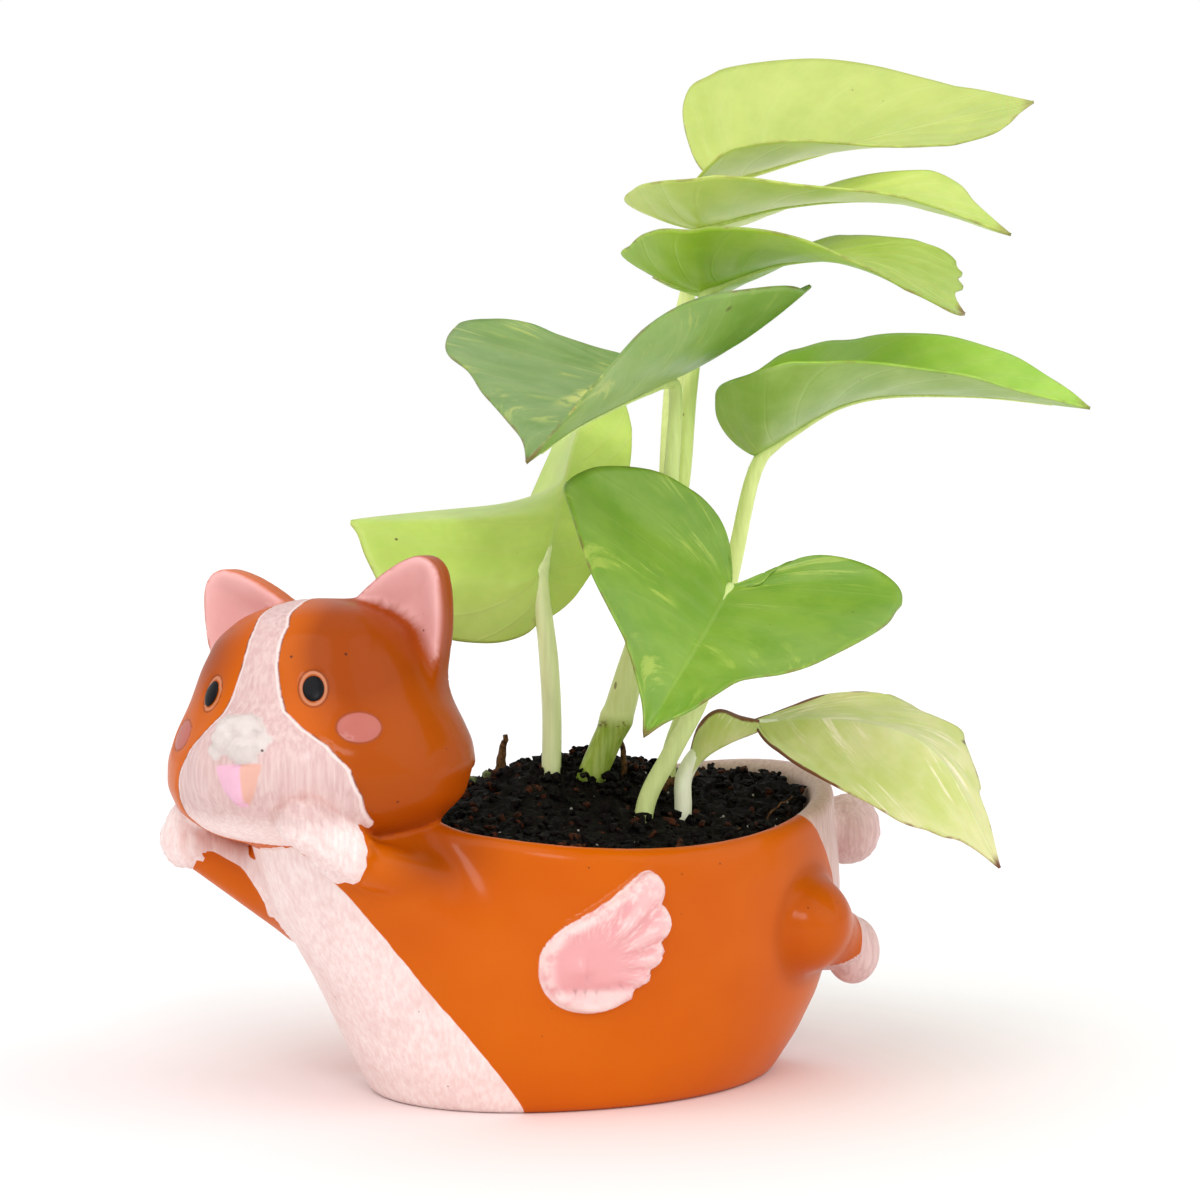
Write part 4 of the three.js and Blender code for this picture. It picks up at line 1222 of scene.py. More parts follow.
LIME = LeafColours(upper=((190, 205, 106), (178, 196, 98)), under=((204, 218, 134), (192, 206, 118)),
                   rib=(208, 222, 138), stalk=(220, 230, 146), brown=0.4)
SECOND = LeafColours(upper=((196, 214, 108), (178, 202, 90)), under=((214, 230, 124), (200, 220, 108)),
                     rib=(222, 236, 150), stalk=(216, 228, 142), brown=0.5)
THIRD = LeafColours(upper=((166, 188, 86), (150, 178, 68)), under=((178, 212, 62), (160, 198, 50)),
                    rib=(204, 226, 120), stalk=(210, 226, 134), brown=0.8)
DARK = LeafColours(upper=((128, 158, 88), (110, 146, 66)), under=((144, 178, 88), (128, 166, 70)),
                   rib=(184, 204, 124), stalk=(210, 226, 140),
                   fleck=(206, 212, 108), flecks=0.5, brown=0.6)
RIGHT = LeafColours(upper=((170, 210, 82), (152, 198, 66)), under=((160, 190, 94), (142, 176, 72)),
                    rib=(190, 212, 126), stalk=(214, 228, 140), brown=0.4)
HEART = LeafColours(upper=((136, 172, 60), (116, 158, 48)), under=((150, 188, 84), (134, 174, 70)),
                    rib=(160, 188, 96), stalk=(210, 226, 144),
                    fleck=(190, 208, 96), flecks=0.55, brown=0.7)
LOW = LeafColours(upper=((216, 216, 152), (194, 204, 112)), under=((212, 220, 148), (192, 206, 112)),
                  rib=(226, 230, 178), stalk=(236, 238, 208),
                  fleck=(240, 232, 196), flecks=0.9, brown=1.0)
BACK = LeafColours(upper=((200, 224, 110), (186, 212, 96)), under=((186, 200, 96), (172, 188, 78)),
                   rib=(208, 218, 136), stalk=(228, 236, 172), brown=0.5)

LEAVES = (
    Leaf("leaf_top", Slot.LIME, LIME, 1.5,
         midrib=((31.5, -46, 184.2), (53.6, -45, 190.6), (76, -44, 196.2), (98, -42, 200.8)),
         far=((53, -64, 212.6), (82.7, -54, 206)),
         near=((51.2, -22, 189.7), (79.5, -34, 191.3)),
         petiole=((14.4, -4, 89), (16.5, -10.5, 98), (18.4, -20, 113), (20, -33.5, 137), (22, -42, 153),
                  (25.5, -48.5, 171)),
         far_edge=((-0.06, 0.08), (-0.1, 0.3), (-0.1, 0.6), (-0.04, 0.83), (0.13, 0.99), (0.32, 1.03),
                   (0.5, 0.94), (0.65, 0.76), (0.8, 0.47), (0.91, 0.21)),
         near_edge=((-0.1, 0.2), (-0.12, 0.46), (-0.06, 0.75), (0.1, 0.92), (0.3, 0.95), (0.5, 0.85),
                    (0.7, 0.66), (0.87, 0.6), (0.92, 0.47), (0.96, 0.18)),
         lobe=0.12, rise=(4, -5), cup=(2, -2), wave=0.35),
    Leaf("leaf_second", Slot.LIME, SECOND, 1.4,
         midrib=((26, -24, 172.2), (44.5, -21, 176.6), (66.7, -16, 176.7), (88.6, -10, 169.4)),
         far=((51.3, -42, 182.5), (74.3, -29, 183.9)),
         near=((43.9, 2, 178.7), (71.4, -4, 174.6)),
         petiole=((15.3, -3.4, 95), (18, -7.4, 105), (20, -13, 117), (22, -23, 137), (23.4, -28, 153),
                  (24.4, -27, 165)),
         far_edge=((-0.16, 0.2), (-0.2, 0.46), (-0.1, 0.8), (0.1, 0.93), (0.3, 0.84), (0.51, 0.66),
                   (0.66, 0.6), (0.78, 0.63), (0.84, 0.57), (0.89, 0.33), (0.94, 0.17)),
         near_edge=((-0.23, 0.09), (-0.22, 0.38), (-0.17, 0.61), (-0.11, 0.76), (0.02, 0.9), (0.2, 1.0),
                    (0.4, 0.86), (0.57, 0.7), (0.75, 0.52), (0.9, 0.25)),
         lobe=0.22, rise=(7, 7), cup=(4, 4), wave=0.35),
    Leaf("leaf_third", Slot.GREEN, THIRD, 1.6,
         midrib=((26.2, -4, 157.6), (42, 1, 162.9), (59.1, 10, 161.8), (74.9, 24, 151)),
         far=((46.7, -20, 167.4), (68.4, -4, 168)),
         near=((40.5, 24, 165.9), (63.2, 26, 156.2)),
         petiole=((15.3, -2.6, 95), (19, -2.2, 103.7), (21.8, -4.2, 119.6), (23.6, -7.4, 140), (25.2, -6.6, 150)),
         far_edge=((-0.16, 0.2), (-0.2, 0.46), (-0.1, 0.8), (0.1, 0.97), (0.3, 1.0), (0.43, 0.92),
                   (0.53, 0.7), (0.67, 0.55), (0.76, 0.56), (0.85, 0.62), (0.9, 0.6), (0.92, 0.53),
                   (0.94, 0.52), (0.935, 0.4), (0.962, 0.33), (0.945, 0.21), (0.956, 0.11)),
         near_edge=((-0.286, 0.08), (-0.26, 0.29), (-0.19, 0.59), (-0.1, 0.79), (0.05, 0.87), (0.2, 0.95),
                    (0.39, 0.98), (0.5, 0.98), (0.6, 0.92), (0.76, 0.77), (0.9, 0.5), (0.97, 0.2)),
         lobe=0.22, rise=(8, 8), cup=(3, 3), wave=0.4),
    Leaf("leaf_dark", Slot.DARK, DARK, 1.6,
         midrib=((19.8, 1, 139.8), (9.9, 17, 134.5), (0.5, 34, 129), (-8.2, 50, 122.2)),
         far=((-23.5, 4, 146.3), (-17.9, 28, 135.5)),
         near=((34, 30, 155.5), (12, 45, 145)),
         petiole=((14, -2.4, 88), (16.2, 1.6, 97), (18, 2.6, 106), (19.3, 2.2, 119.6), (19, 1.6, 131.6)),
         far_edge=((-0.05, 0.2), (-0.05, 0.475), (-0.05, 0.635), (-0.065, 0.82), (-0.05, 1.0), (0.0, 1.12),
                   (0.12, 1.11), (0.35, 1.04), (0.5, 0.94), (0.56, 0.79), (0.71, 0.58), (0.81, 0.33),
                   (0.885, 0.14)),
         near_edge=((-0.06, 0.25), (-0.1, 0.5), (-0.12, 0.8), (-0.06, 1.02), (0.1, 1.08), (0.33, 1.0),
                    (0.5, 0.9), (0.7, 0.68), (0.87, 0.35)),
         lobe=0.14, rise=(3, 3), cup=(1, 1), streak=Streak(0.36, 0.24, -8.0, 2.6), wave=0.5),
    Leaf("leaf_right", Slot.GREEN, RIGHT, 1.8,
         midrib=((36.8, -4, 124.7), (55.4, -3, 135.3), (78.1, 0, 136.6), (102.4, 4, 133.8)),
         far=((61.2, -26, 149.9), (86.6, -11, 145.6)),
         near=((56.8, 20, 142.3), (83.8, 13, 137.6)),
         petiole=((19.2, -12, 40), (19.2, -12, 61.6), (23.6, -11, 74.8), (28.6, -9, 87.2), (32.2, -7, 102.5),
                  (34.6, -5, 118)),
         far_edge=((-0.1, 0.3), (-0.12, 0.7), (-0.06, 1.02), (0.0, 1.2), (0.12, 1.29), (0.3, 1.03),
                   (0.475, 0.86), (0.6, 0.78), (0.71, 0.66), (0.79, 0.56), (0.88, 0.34), (0.945, 0.18)),
         near_edge=((-0.1, 0.15), (-0.15, 0.3), (-0.17, 0.49), (-0.174, 0.63), (-0.15, 0.77), (-0.1, 0.92),
                    (-0.04, 1.05), (0.07, 1.11), (0.23, 1.08), (0.38, 0.95), (0.5, 0.87), (0.62, 0.83),
                    (0.71, 0.68), (0.8, 0.45), (0.9, 0.26)),
         lobe=0.2, rise=(11, 11), cup=(5, 5), wave=0.4),
    Leaf("leaf_heart", Slot.GREEN, HEART, 1.9,
         midrib=((30.8, 14, 99), (25.2, 29, 90.5), (19.1, 44, 81.8), (13.1, 58, 72.9)),
         far=((1.1, 34, 109.9), (9.2, 50, 90.9)),
         near=((55.6, 34, 90.4), (31.6, 52, 82.6)),
         petiole=((14.1, 10, 36), (14.1, 10, 55), (19.4, 9.6, 66), (25, 9.6, 77), (29, 10, 88)),
         far_edge=((-0.14, 0.07), (-0.25, 0.15), (-0.32, 0.24), (-0.365, 0.37), (-0.366, 0.5), (-0.35, 0.65),
                   (-0.28, 0.8), (-0.17, 0.94), (-0.06, 1.0), (0.02, 1.02), (0.11, 1.05), (0.22, 1.03),
                   (0.4, 0.99), (0.56, 0.91), (0.67, 0.745), (0.745, 0.55), (0.81, 0.35), (0.9, 0.13)),
         near_edge=((-0.02, 0.15), (-0.11, 0.18), (-0.21, 0.25), (-0.26, 0.35), (-0.27, 0.47), (-0.25, 0.61),
                    (-0.2, 0.75), (-0.11, 0.88), (-0.02, 0.945), (0.09, 0.97), (0.22, 1.02), (0.38, 1.03),
                    (0.53, 1.01), (0.67, 0.96), (0.73, 0.84), (0.735, 0.67), (0.74, 0.53), (0.81, 0.39),
                    (0.88, 0.26), (0.93, 0.1)),
         lobe=0.27, rise=(0, 0), cup=(1, 1), tuck=6, wave=0.5),
    Leaf("leaf_low", Slot.PALE, LOW, 1.8,
         midrib=((35.6, 2, 71.3), (51, 4, 71.9), (69.4, 8, 67.2), (83.5, 14, 43.6)),
         far=((59, -14, 76.1), (81.3, -2, 61.3)),
         near=((52.8, 18, 59.3), (72.2, 18, 51.9)),
         petiole=((21.7, 7, 36), (21.7, 7, 54.9), (22, 6, 61), (26.1, 4, 66.3), (31.1, 3, 69.2)),
         far_edge=((0.01, 0.04), (0.09, 0.22), (0.17, 0.44), (0.24, 0.7), (0.31, 0.92), (0.365, 1.15),
                   (0.396, 1.25), (0.45, 1.18), (0.51, 1.02), (0.57, 1.0), (0.61, 1.02), (0.67, 0.785),
                   (0.73, 0.59), (0.8, 0.42), (0.82, 0.31), (0.88, 0.24), (0.93, 0.15)),
         near_edge=((0.004, 0.1), (0.007, 0.4), (0.04, 0.61), (0.14, 0.875), (0.29, 1.03), (0.42, 1.035),
                    (0.55, 1.02), (0.69, 0.82), (0.825, 0.44), (0.93, 0.15)),
         lobe=0.05, rise=(0, 0), cup=(0, 0), wave=0.4, curled=True),
    Leaf("leaf_back", Slot.PALE, BACK, 2.0,
         midrib=((-6.3, -4, 100.5), (-3, -16, 114.7), (0, -32, 128.4), (5.2, -50, 142.3)),
         far=((-38.8, -13, 112), (-4.2, -56, 128.5)),
         near=((11, -20, 111.6), (12.1, -38, 130.7)),
         petiole=((-4.7, -5, 38), (-4.7, -5, 57), (-4.5, -5, 71.2), (-5.1, -4, 83.4), (-5.8, -3, 93.5)),
         far_edge=((-0.15, -0.03), (-0.2, 0.01), (-0.23, 0.12), (-0.23, 0.26), (-0.205, 0.42), (-0.13, 0.58),
                   (-0.04, 0.72), (0.05, 0.79), (0.14, 0.86), (0.23, 0.92), (0.3, 0.985), (0.36, 1.0),
                   (0.43, 1.005), (0.5, 0.95), (0.6, 0.8), (0.7, 0.66), (0.82, 0.58), (0.92, 0.42)),
         near_edge=((-0.14, 0.15), (-0.125, 0.33), (-0.03, 0.67), (0.06, 0.81), (0.25, 0.88), (0.45, 0.82),
                    (0.574, 0.73), (0.67, 0.66), (0.76, 0.57), (0.9, 0.35)),
         lobe=0.22, rise=(-2, -2), cup=(0, 0), tuck=-10, swing=0.16, wave=0.4),
)

CURL_FOOT = ((22.4, 5.2, 62), (26.1, 4, 66.3), (31.1, 3, 69.2), (37, 2, 71.6))
CURL_CREST = ((22.4, 5.2, 62), (25.2, 3.4, 71.2), (28.8, 2.4, 73.8), (33.4, 2, 72.4), (37, 2, 71.6))


@dataclass
class LeafBuilder:
    """Grows one leaf, blade and petiole, as a single piece."""

    leaf: Leaf
    blade_steps: tuple = (84, 48)
    curl_steps: tuple = (30, 10)
    curl_bulge: float = 1.2
    curl_sink: tuple = (0, 2.1, -1.9)
    thickness: float = 0.5
    belly: float = 1.2
    waves: float = 3.0
    quilt: float = 0.12
    stalk_steps: int = 120
    stalk_sides: int = 20

    def __post_init__(self) -> None:
        """Work out the midrib."""
        self.shares = np.linspace(0, 1, 401)
        self.route = spline(place(self.leaf.midrib), self.shares)
        length = float(np.sum(np.linalg.norm(np.diff(self.route, axis=0), axis=1)))
        self.heading = unit(self.route[1] - self.route[0]) * length
        self.tangents = np.gradient(self.route, axis=0)

    def on_route(self, s: Points, rows: Points) -> Points:
        """Rows kept along the midrib, read at shares of its length."""
        return np.stack([np.interp(s, self.shares, column) for column in rows.T], -1)

    def along(self, s: Points, half: int) -> Points:
        """Midrib line, run on behind the petiole for the lobes.

        Args:
            s: Shares of its length, below zero in the lobes.
            half: 0 for the far half of the blade, 1 for the near half.

        Returns:
            Points of the line.
        """
        found = self.on_route(np.clip(s, 0, 1), self.route) + np.minimum(s, 0)[..., None] * self.heading
        bend = (np.maximum(-s, 0) / self.leaf.lobe) ** 1.3
        found[..., 2] += self.leaf.rise[half] * bend
        return found + bend[..., None] * place(np.array((0, self.leaf.tuck, 0)))

    def reach(self, s: Points, half: int) -> Points:
        """From the midrib to the edge of one half at full width.

        Args:
            s: Shares of the midrib.
            half: 0 for the far half of the blade, 1 for the near half.

        Returns:
            Vectors in millimetres.
        """
        wide, slim = place(self.leaf.near if half else self.leaf.far)
        at_wide = wide - self.on_route(np.array(STATION_NEAR), self.route)
        at_tip = (slim - self.on_route(np.array(STATION_TIP), self.route)) / TIP_SHARE
        swing = STATION_TIP - STATION_NEAR if half else self.leaf.swing
        share = np.clip((s - STATION_NEAR) / swing, -swing / TURN_BACK, 1)[..., None]
        found = at_wide * (1 - share) + at_tip * share
        found[..., 2] += self.leaf.cup[half] * np.clip(1 - s / STATION_NEAR, 0, 1) ** 2
        return found

    def upward(self, s: Points) -> Points:
        """Direction out of the upper face beside the midrib."""
        s = np.clip(s, 0, 1)
        found = unit(np.cross(self.reach(s, 1) - self.reach(s, 0), self.on_route(s, self.tangents)))
        return found * np.sign(found[..., 2:])

    def surface(self, u: Points, v: Points) -> tuple[Points, Points]:
        """Middle surface of the blade.

        Args:
            u: Places from the sinus round the edge to the tip.
            v: Places from the far edge, -1, to the near edge, 1.

        Returns:
            Points, and rows of place along the midrib, distance across and distance to the edge.
        """
        points, chart = np.zeros((len(u), 3)), np.zeros((len(u), 3))
        for half, corners in enumerate((self.leaf.far_edge, self.leaf.near_edge)):
            mask = (v >= 0) if half else (v < 0)
            run, out = u[mask], np.abs(v[mask])
            edge = spline(((0, 0), *corners, (1, 0)), run)
            s = run ** 2 * (1 - out) + edge[:, 0] * out
            w = edge[:, 1]
            vector = self.reach(np.maximum(s, 0), half)
            belly = np.sin(np.pi * out) * w * self.belly
            ripple = self.leaf.wave * w * out ** 2.5 * np.sin(2 * np.pi * self.waves * run + 1.7 * half)
            quilt = self.quilt * np.sin(np.pi * out) * np.sin(2 * np.pi * VEINS * (run - 0.1 * out))
            points[mask] = (self.along(s, half) + vector * (w * out)[:, None]
                            - self.upward(s) * (belly + ripple + quilt)[:, None])
            width = w * np.linalg.norm(vector, axis=1)
            chart[mask] = np.stack([s, width * out * np.sign(v[mask]), width * (1 - out)], 1)
        return points, chart

    def grid(self, steps: tuple) -> tuple[bmesh.types.BMesh, Points, Points]:
        """Flat grid with the places of its vertices along and across, 0 to 1."""
        bm = bmesh.new()
        bmesh.ops.create_grid(bm, x_segments=steps[0], y_segments=steps[1], size=1)
        flat = np.array([v.co[:2] for v in bm.verts])
        return bm, (flat[:, 0] + 1) / 2, (flat[:, 1] + 1) / 2

    def bend(self, bm: bmesh.types.BMesh, points: Points, chart: Points, grain: tuple[Points, Points]) -> None:
        """Bend a grid and store where its vertices lie on the leaf.

        Args:
            bm: The grid.
            points: Where its vertices go, in millimetres.
            chart: Place along the midrib, distance across and distance to the edge at each vertex.
            grain: Places of the vertices along and across the grid.
        """
        layers = [bm.verts.layers.float_vector.new(name) for name in ("leaf_chart", "leaf_grain")]
        for i, vert in enumerate(bm.verts):
            vert.co = points[i] * MM
            vert[layers[0]] = chart[i]
            vert[layers[1]] = (grain[0][i], grain[1][i], 0)
        bmesh.ops.remove_doubles(bm, verts=bm.verts, dist=2e-5)

    def solid(self, bm: bmesh.types.BMesh) -> bpy.types.Mesh:
        """Give a sheet its thickness.

        Args:
            bm: The sheet, which is used up.

        Returns:
            Closed solid with its upper faces in slot 0 and its under faces in slot 1.
        """
        mesh = to_mesh(bm, self.leaf.name)
        for _ in range(3):
            mesh.materials.append(None)
        holder = new_object(self.leaf.name, mesh)
        thick = holder.modifiers.new("Thickness", "SOLIDIFY")
        thick.thickness = self.thickness * MM
        thick.offset = 0
        thick.use_even_offset = False
        thick.material_offset = 1
        thick.material_offset_rim = 0
        return applied(holder)

    def blade(self) -> bpy.types.Mesh:
        """Blade of the leaf.

        Returns:
            Closed solid.
        """
        bm, u, v = self.grid(self.blade_steps)
        v = np.round(2 * v - 1, 6)
        self.bend(bm, *self.surface(u, v), (u, v))
        bm.normal_update()
        if sum(face.normal.z * face.calc_area() for face in bm.faces) < 0:
            bmesh.ops.reverse_faces(bm, faces=bm.faces)
        return self.solid(bm)

    def curl(self) -> bpy.types.Mesh:
        """Folded base of the low leaf, which stands up on the petiole.

        Returns:
            Closed solid.
        """
        bm, u, v = self.grid(self.curl_steps)
        foot = spline(place(CURL_FOOT), u) + place(np.array([self.curl_sink]))
        rise = spline(place(CURL_CREST), u) - foot
        bulge = np.sin(np.pi * v) * np.sin(np.pi * u) * self.curl_bulge
        points = foot + rise * v[:, None] + place(np.array([(0, 1, 0)])) * bulge[:, None]
        size = np.linalg.norm(rise, axis=1)
        chart = np.stack([np.full(len(u), 0.1), size * v + 1, size * (1 - v)], 1)
        self.bend(bm, points, chart, (u, v))
        return self.solid(bm)

    def stalk(self) -> bpy.types.Mesh:
        """Petiole that runs on under the blade as its rib.

        Returns:
            Closed round stalk.
        """
        petiole = place(self.leaf.petiole)
        petiole[-1] = self.route[0] - self.upward(np.array(0.0)) * 1.2
        stations = np.linspace(0.07, 0.9, 12)
        sink = 0.25 + 0.6 * np.interp(stations, (0, 0.9), (0.42, 0.15))
        ribs = self.on_route(stations, self.route) - self.upward(stations) * sink[:, None]
        route = np.vstack([petiole, ribs])
        last = self.stalk_steps - 1
        joint = (len(petiole) - 1) / (len(route) - 1) * last
        thin = np.interp(np.arange(self.stalk_steps), (0, joint * 0.75, joint, joint + 8, joint + 26, last),
                         (1.0, 0.98, 0.8, 0.42, 0.2, 0.08))
        points = spline(route, np.linspace(0, 1, self.stalk_steps))
        return tube(self.leaf.name + "_stalk", points, thin * self.leaf.radius, self.stalk_sides)

    def build(self) -> None:
        """Grow the leaf and tie it to the frame."""
        leaf = self.leaf
        whole = bmesh.new()
        whole.from_mesh(self.blade())
        if leaf.curled:
            whole.from_mesh(self.curl())
        count = len(whole.faces)
        whole.from_mesh(self.stalk())
        whole.faces.ensure_lookup_table()
        for face in whole.faces[count:]:
            face.material_index = 2
        finishes = (BladeSkin(leaf, True).build(), BladeSkin(leaf, False).build(),
                    StalkSkin(leaf.name + "_stalk", leaf.colours.stalk).build())
        add_piece(leaf.name + "_grown", to_mesh(whole, leaf.name + "_grown"), finishes, leaf.slot, leaf.name)


@dataclass(frozen=True)
class BladeSkin:
    """Waxy leaf skin with its rib, veins, flecks and browned edge."""

    leaf: Leaf
    upper: bool
    browned: Colour = (122, 74, 44)
    spot: Colour = (84, 58, 34)

    def flecks(self, f: Finish, turns: Socket, v: Socket) -> None:
        """Lay the pale flecks that run along the veins.

        Args:
            f: The material.
            turns: Count of veins from the sinus.
            v: Place across the blade.
        """
        colours = self.leaf.colours
        drawn = f.noise(f.join(turns, f.times(v, 0.5), 3.0), 0.35, 5, 0.7)
        share = f.times(f.step(drawn, 0.53, 0.63), f.step(f.noise(f.mm, 16, 1), 0.46, 0.6))
        f.lay(share, colours.fleck, colours.flecks)

    def streak(self, f: Finish, along: Socket, across: Socket) -> None:
        """Lay the one broad pale streak.

        Args:
            f: The material.
            along: Place along the midrib.
            across: Distance from the midrib.
        """
        mark = self.leaf.streak
        share = f.times(f.band(along, mark.middle, mark.length, mark.length * 0.3),
                        f.band(across, mark.offset, mark.width, mark.width * 0.2),
                        f.step(f.noise(f.mm, 2.0, 4), 0.3, 0.55))
        f.lay(share, self.leaf.colours.fleck, 0.75)

    def browning(self, f: Finish, along: Socket, edge: Socket, cloud: Socket) -> None:
        """Lay the brown margin, tip and spots.

        Args:
            f: The material.
            along: Place along the midrib.
            edge: Distance to the edge.
            cloud: Broad noise.
        """
        brown = self.leaf.colours.brown
        inward = f.math("ADD", edge, f.times(f.noise(f.mm, 3.5, 3), 1.6))
        if self.leaf.curled:
            inward = f.math("SUBTRACT", inward, f.times(f.step(along, 0.3, 0.12), 1.1))
        margin = f.times(f.step(inward, 0.95, 0.35), brown)
        tip = f.times(f.step(f.math("ADD", along, f.times(cloud, 0.05)), 0.975, 1.01), brown)
        f.lay(f.math("MAXIMUM", margin, tip), self.browned)
        f.lay(f.math("MAXIMUM", f.specks(f.mm, 5.5, 0.26), f.specks(f.mm, 23.0, 1.1)), self.spot, 0.85)

    def build(self) -> bpy.types.Material:
        """Make the material.

        Returns:
            The finished material.
        """
        colours = self.leaf.colours
        f = Finish(self.leaf.name + ("_upper" if self.upper else "_under"), 0.42)
        along, across, edge = f.split(f.stored("leaf_chart", "Vector"))
        u, v, _ = f.split(f.stored("leaf_grain", "Vector"))
        cloud = f.noise(f.mm, 11, 3, 0.6)
        lag = f.times(f.math("POWER", f.math("ABSOLUTE", v), 1.4), 0.16)
        turns = f.times(f.math("SUBTRACT", u, lag), VEINS)
        from_vein = f.math("ABSOLUTE", f.math("SUBTRACT", f.math("FRACT", turns), 0.5))
        vein = f.step(from_vein, 0.07, 0.0)
        rib = f.times(f.band(across, 0.0, 0.7, 0.1), f.step(along, 1.0, 0.6))
        f.colour = f.blend(f.step(cloud, 0.3, 0.7), *(colours.upper if self.upper else colours.under))
        for share, strength in ((f.step(from_vein, 0.4, 0.0), 0.1), (vein, 0.05),
                                (f.step(f.noise(f.join(turns, v, 0.0), 0.12, 3), 0.45, 0.7), 0.08),
                                (rib, 0.3 if self.upper else 0.45)):
            f.lay(share, colours.rib, strength)
        if colours.flecks:
            self.flecks(f, turns, v)
        if self.leaf.streak and self.upper:
            self.streak(f, along, across)
        self.browning(f, along, edge, cloud)
        ribbed = f.relief(f.math("MAXIMUM", f.times(vein, 0.5), rib), 0.08 if self.upper else -0.1)
        normal = f.relief(f.noise(f.mm, 0.7, 3), 0.02, ribbed)
        return f.done(normal, Subsurface_Weight=0.15, Subsurface_Scale=0.001, Coat_Weight=0.12,
                      Coat_Roughness=0.3, Specular_IOR_Level=0.35)


@dataclass(frozen=True)
class StalkSkin:
    """Smooth fleshy stalk with fine lengthwise streaks and brown ticks."""

    name: str
    colour: Colour
    tick: Colour = (104, 84, 36)

    def build(self) -> bpy.types.Material:
        """Make the material."""
        f = Finish(self.name, 0.4)
        streaks = f.noise(f.millimetres((1, 1, 0.08)), 0.9, 4)
        pale, dull = (tuple(min(255, v + lift) for v in self.colour) for lift in (16, 4))
        f.colour = f.blend(f.step(streaks, 0.3, 0.7), pale, dull)
        f.lay(f.specks(f.millimetres((1, 1, 0.5)), 4.5, 0.32), self.tick, 0.75)
        return f.done(f.relief(streaks, 0.02), Coat_Weight=0.1, Coat_Roughness=0.3, Specular_IOR_Level=0.3)


@dataclass(frozen=True)
class VineSkin:
    """Green ribbed skin, paler above the node, with a scarred ring."""

    low: tuple = ((146, 174, 56), (176, 196, 92))
    high: tuple = ((222, 232, 156), (214, 226, 144))
    scar: Colour = (110, 84, 40)
    tick: Colour = (104, 84, 40)
    node_height: float = 70.6

    def build(self) -> bpy.types.Material:
        """Make the material.

        Returns:
            The finished material.
        """
        f = Finish("vine_skin", 0.4)
        height = f.split(f.mm)[2]
        streaks = f.noise(f.millimetres((1, 1, 0.06)), 0.8, 4)
        low, high = f.blend(f.step(streaks, 0.35, 0.65), *self.low), f.blend(f.step(streaks, 0.3, 0.7), *self.high)
        scars = f.step(f.noise(f.millimetres((1, 1, 1.6)), 1.6, 4), 0.52, 0.62)
        f.colour = f.blend(f.step(height, 69.5, 73), low, high)
        f.lay(f.times(f.band(height, self.node_height, 0.9, 0.2), scars), self.scar, 0.8)
        f.lay(f.specks(f.millimetres((1, 1, 0.45)), 3.4, 0.34), self.tick, 0.7)
        return f.done(f.relief(streaks, 0.05), Coat_Weight=0.1, Specular_IOR_Level=0.3)


@dataclass
class Vine:
    """Rooted vine: a thick length up to its node and a slimmer one above."""

    route: tuple = ((0, -3.5, 34), (1.5, -3.6, 50), (3.2, -3.8, 58.7), (5.8, -4, 65.2), (8.7, -4, 72),
                    (11.4, -3.5, 81.4), (14.2, -3, 91), (15.4, -3, 97))
    girth: tuple = ((34, 58, 68.5, 70.6, 71.6, 73.2, 84, 97), (3.0, 2.95, 3.0, 3.35, 3.5, 3.2, 2.7, 2.5))

    def build(self) -> None:
        """Make the vine and tie it to the frame."""
        points = spline(place(self.route), np.linspace(0, 1, 140))
        mesh = tube("stem_grown", points, np.interp(points[:, 2], *self.girth), 32)
        add_piece("stem_grown", mesh, (VineSkin().build(),), Slot.STEM, "stem_main")


@dataclass(frozen=True)
class Earth:
    """Damp earthy matter."""

    name: str
    light: Colour
    dark: Colour

    def build(self) -> bpy.types.Material:
        """Make the material."""
        f = Finish(self.name, 0.8)
        grain = f.noise(f.mm, 0.9, 4, 0.65)
        damp = f.node("MapRange", {"Value": f.noise(f.mm, 2.5, 2), "To Min": 0.45, "To Max": 0.9}).outputs[0]
        f.colour = f.blend(f.step(grain, 0.35, 0.65), self.dark, self.light)
        return f.done(f.relief(grain, 0.4), damp, Specular_IOR_Level=0.1)


class Crumb(Enum):
    """Kinds of crumb by the place of their material."""

    EARTH = 0
    BARK = 1
    GRAIN = 2
    GREEN = 3


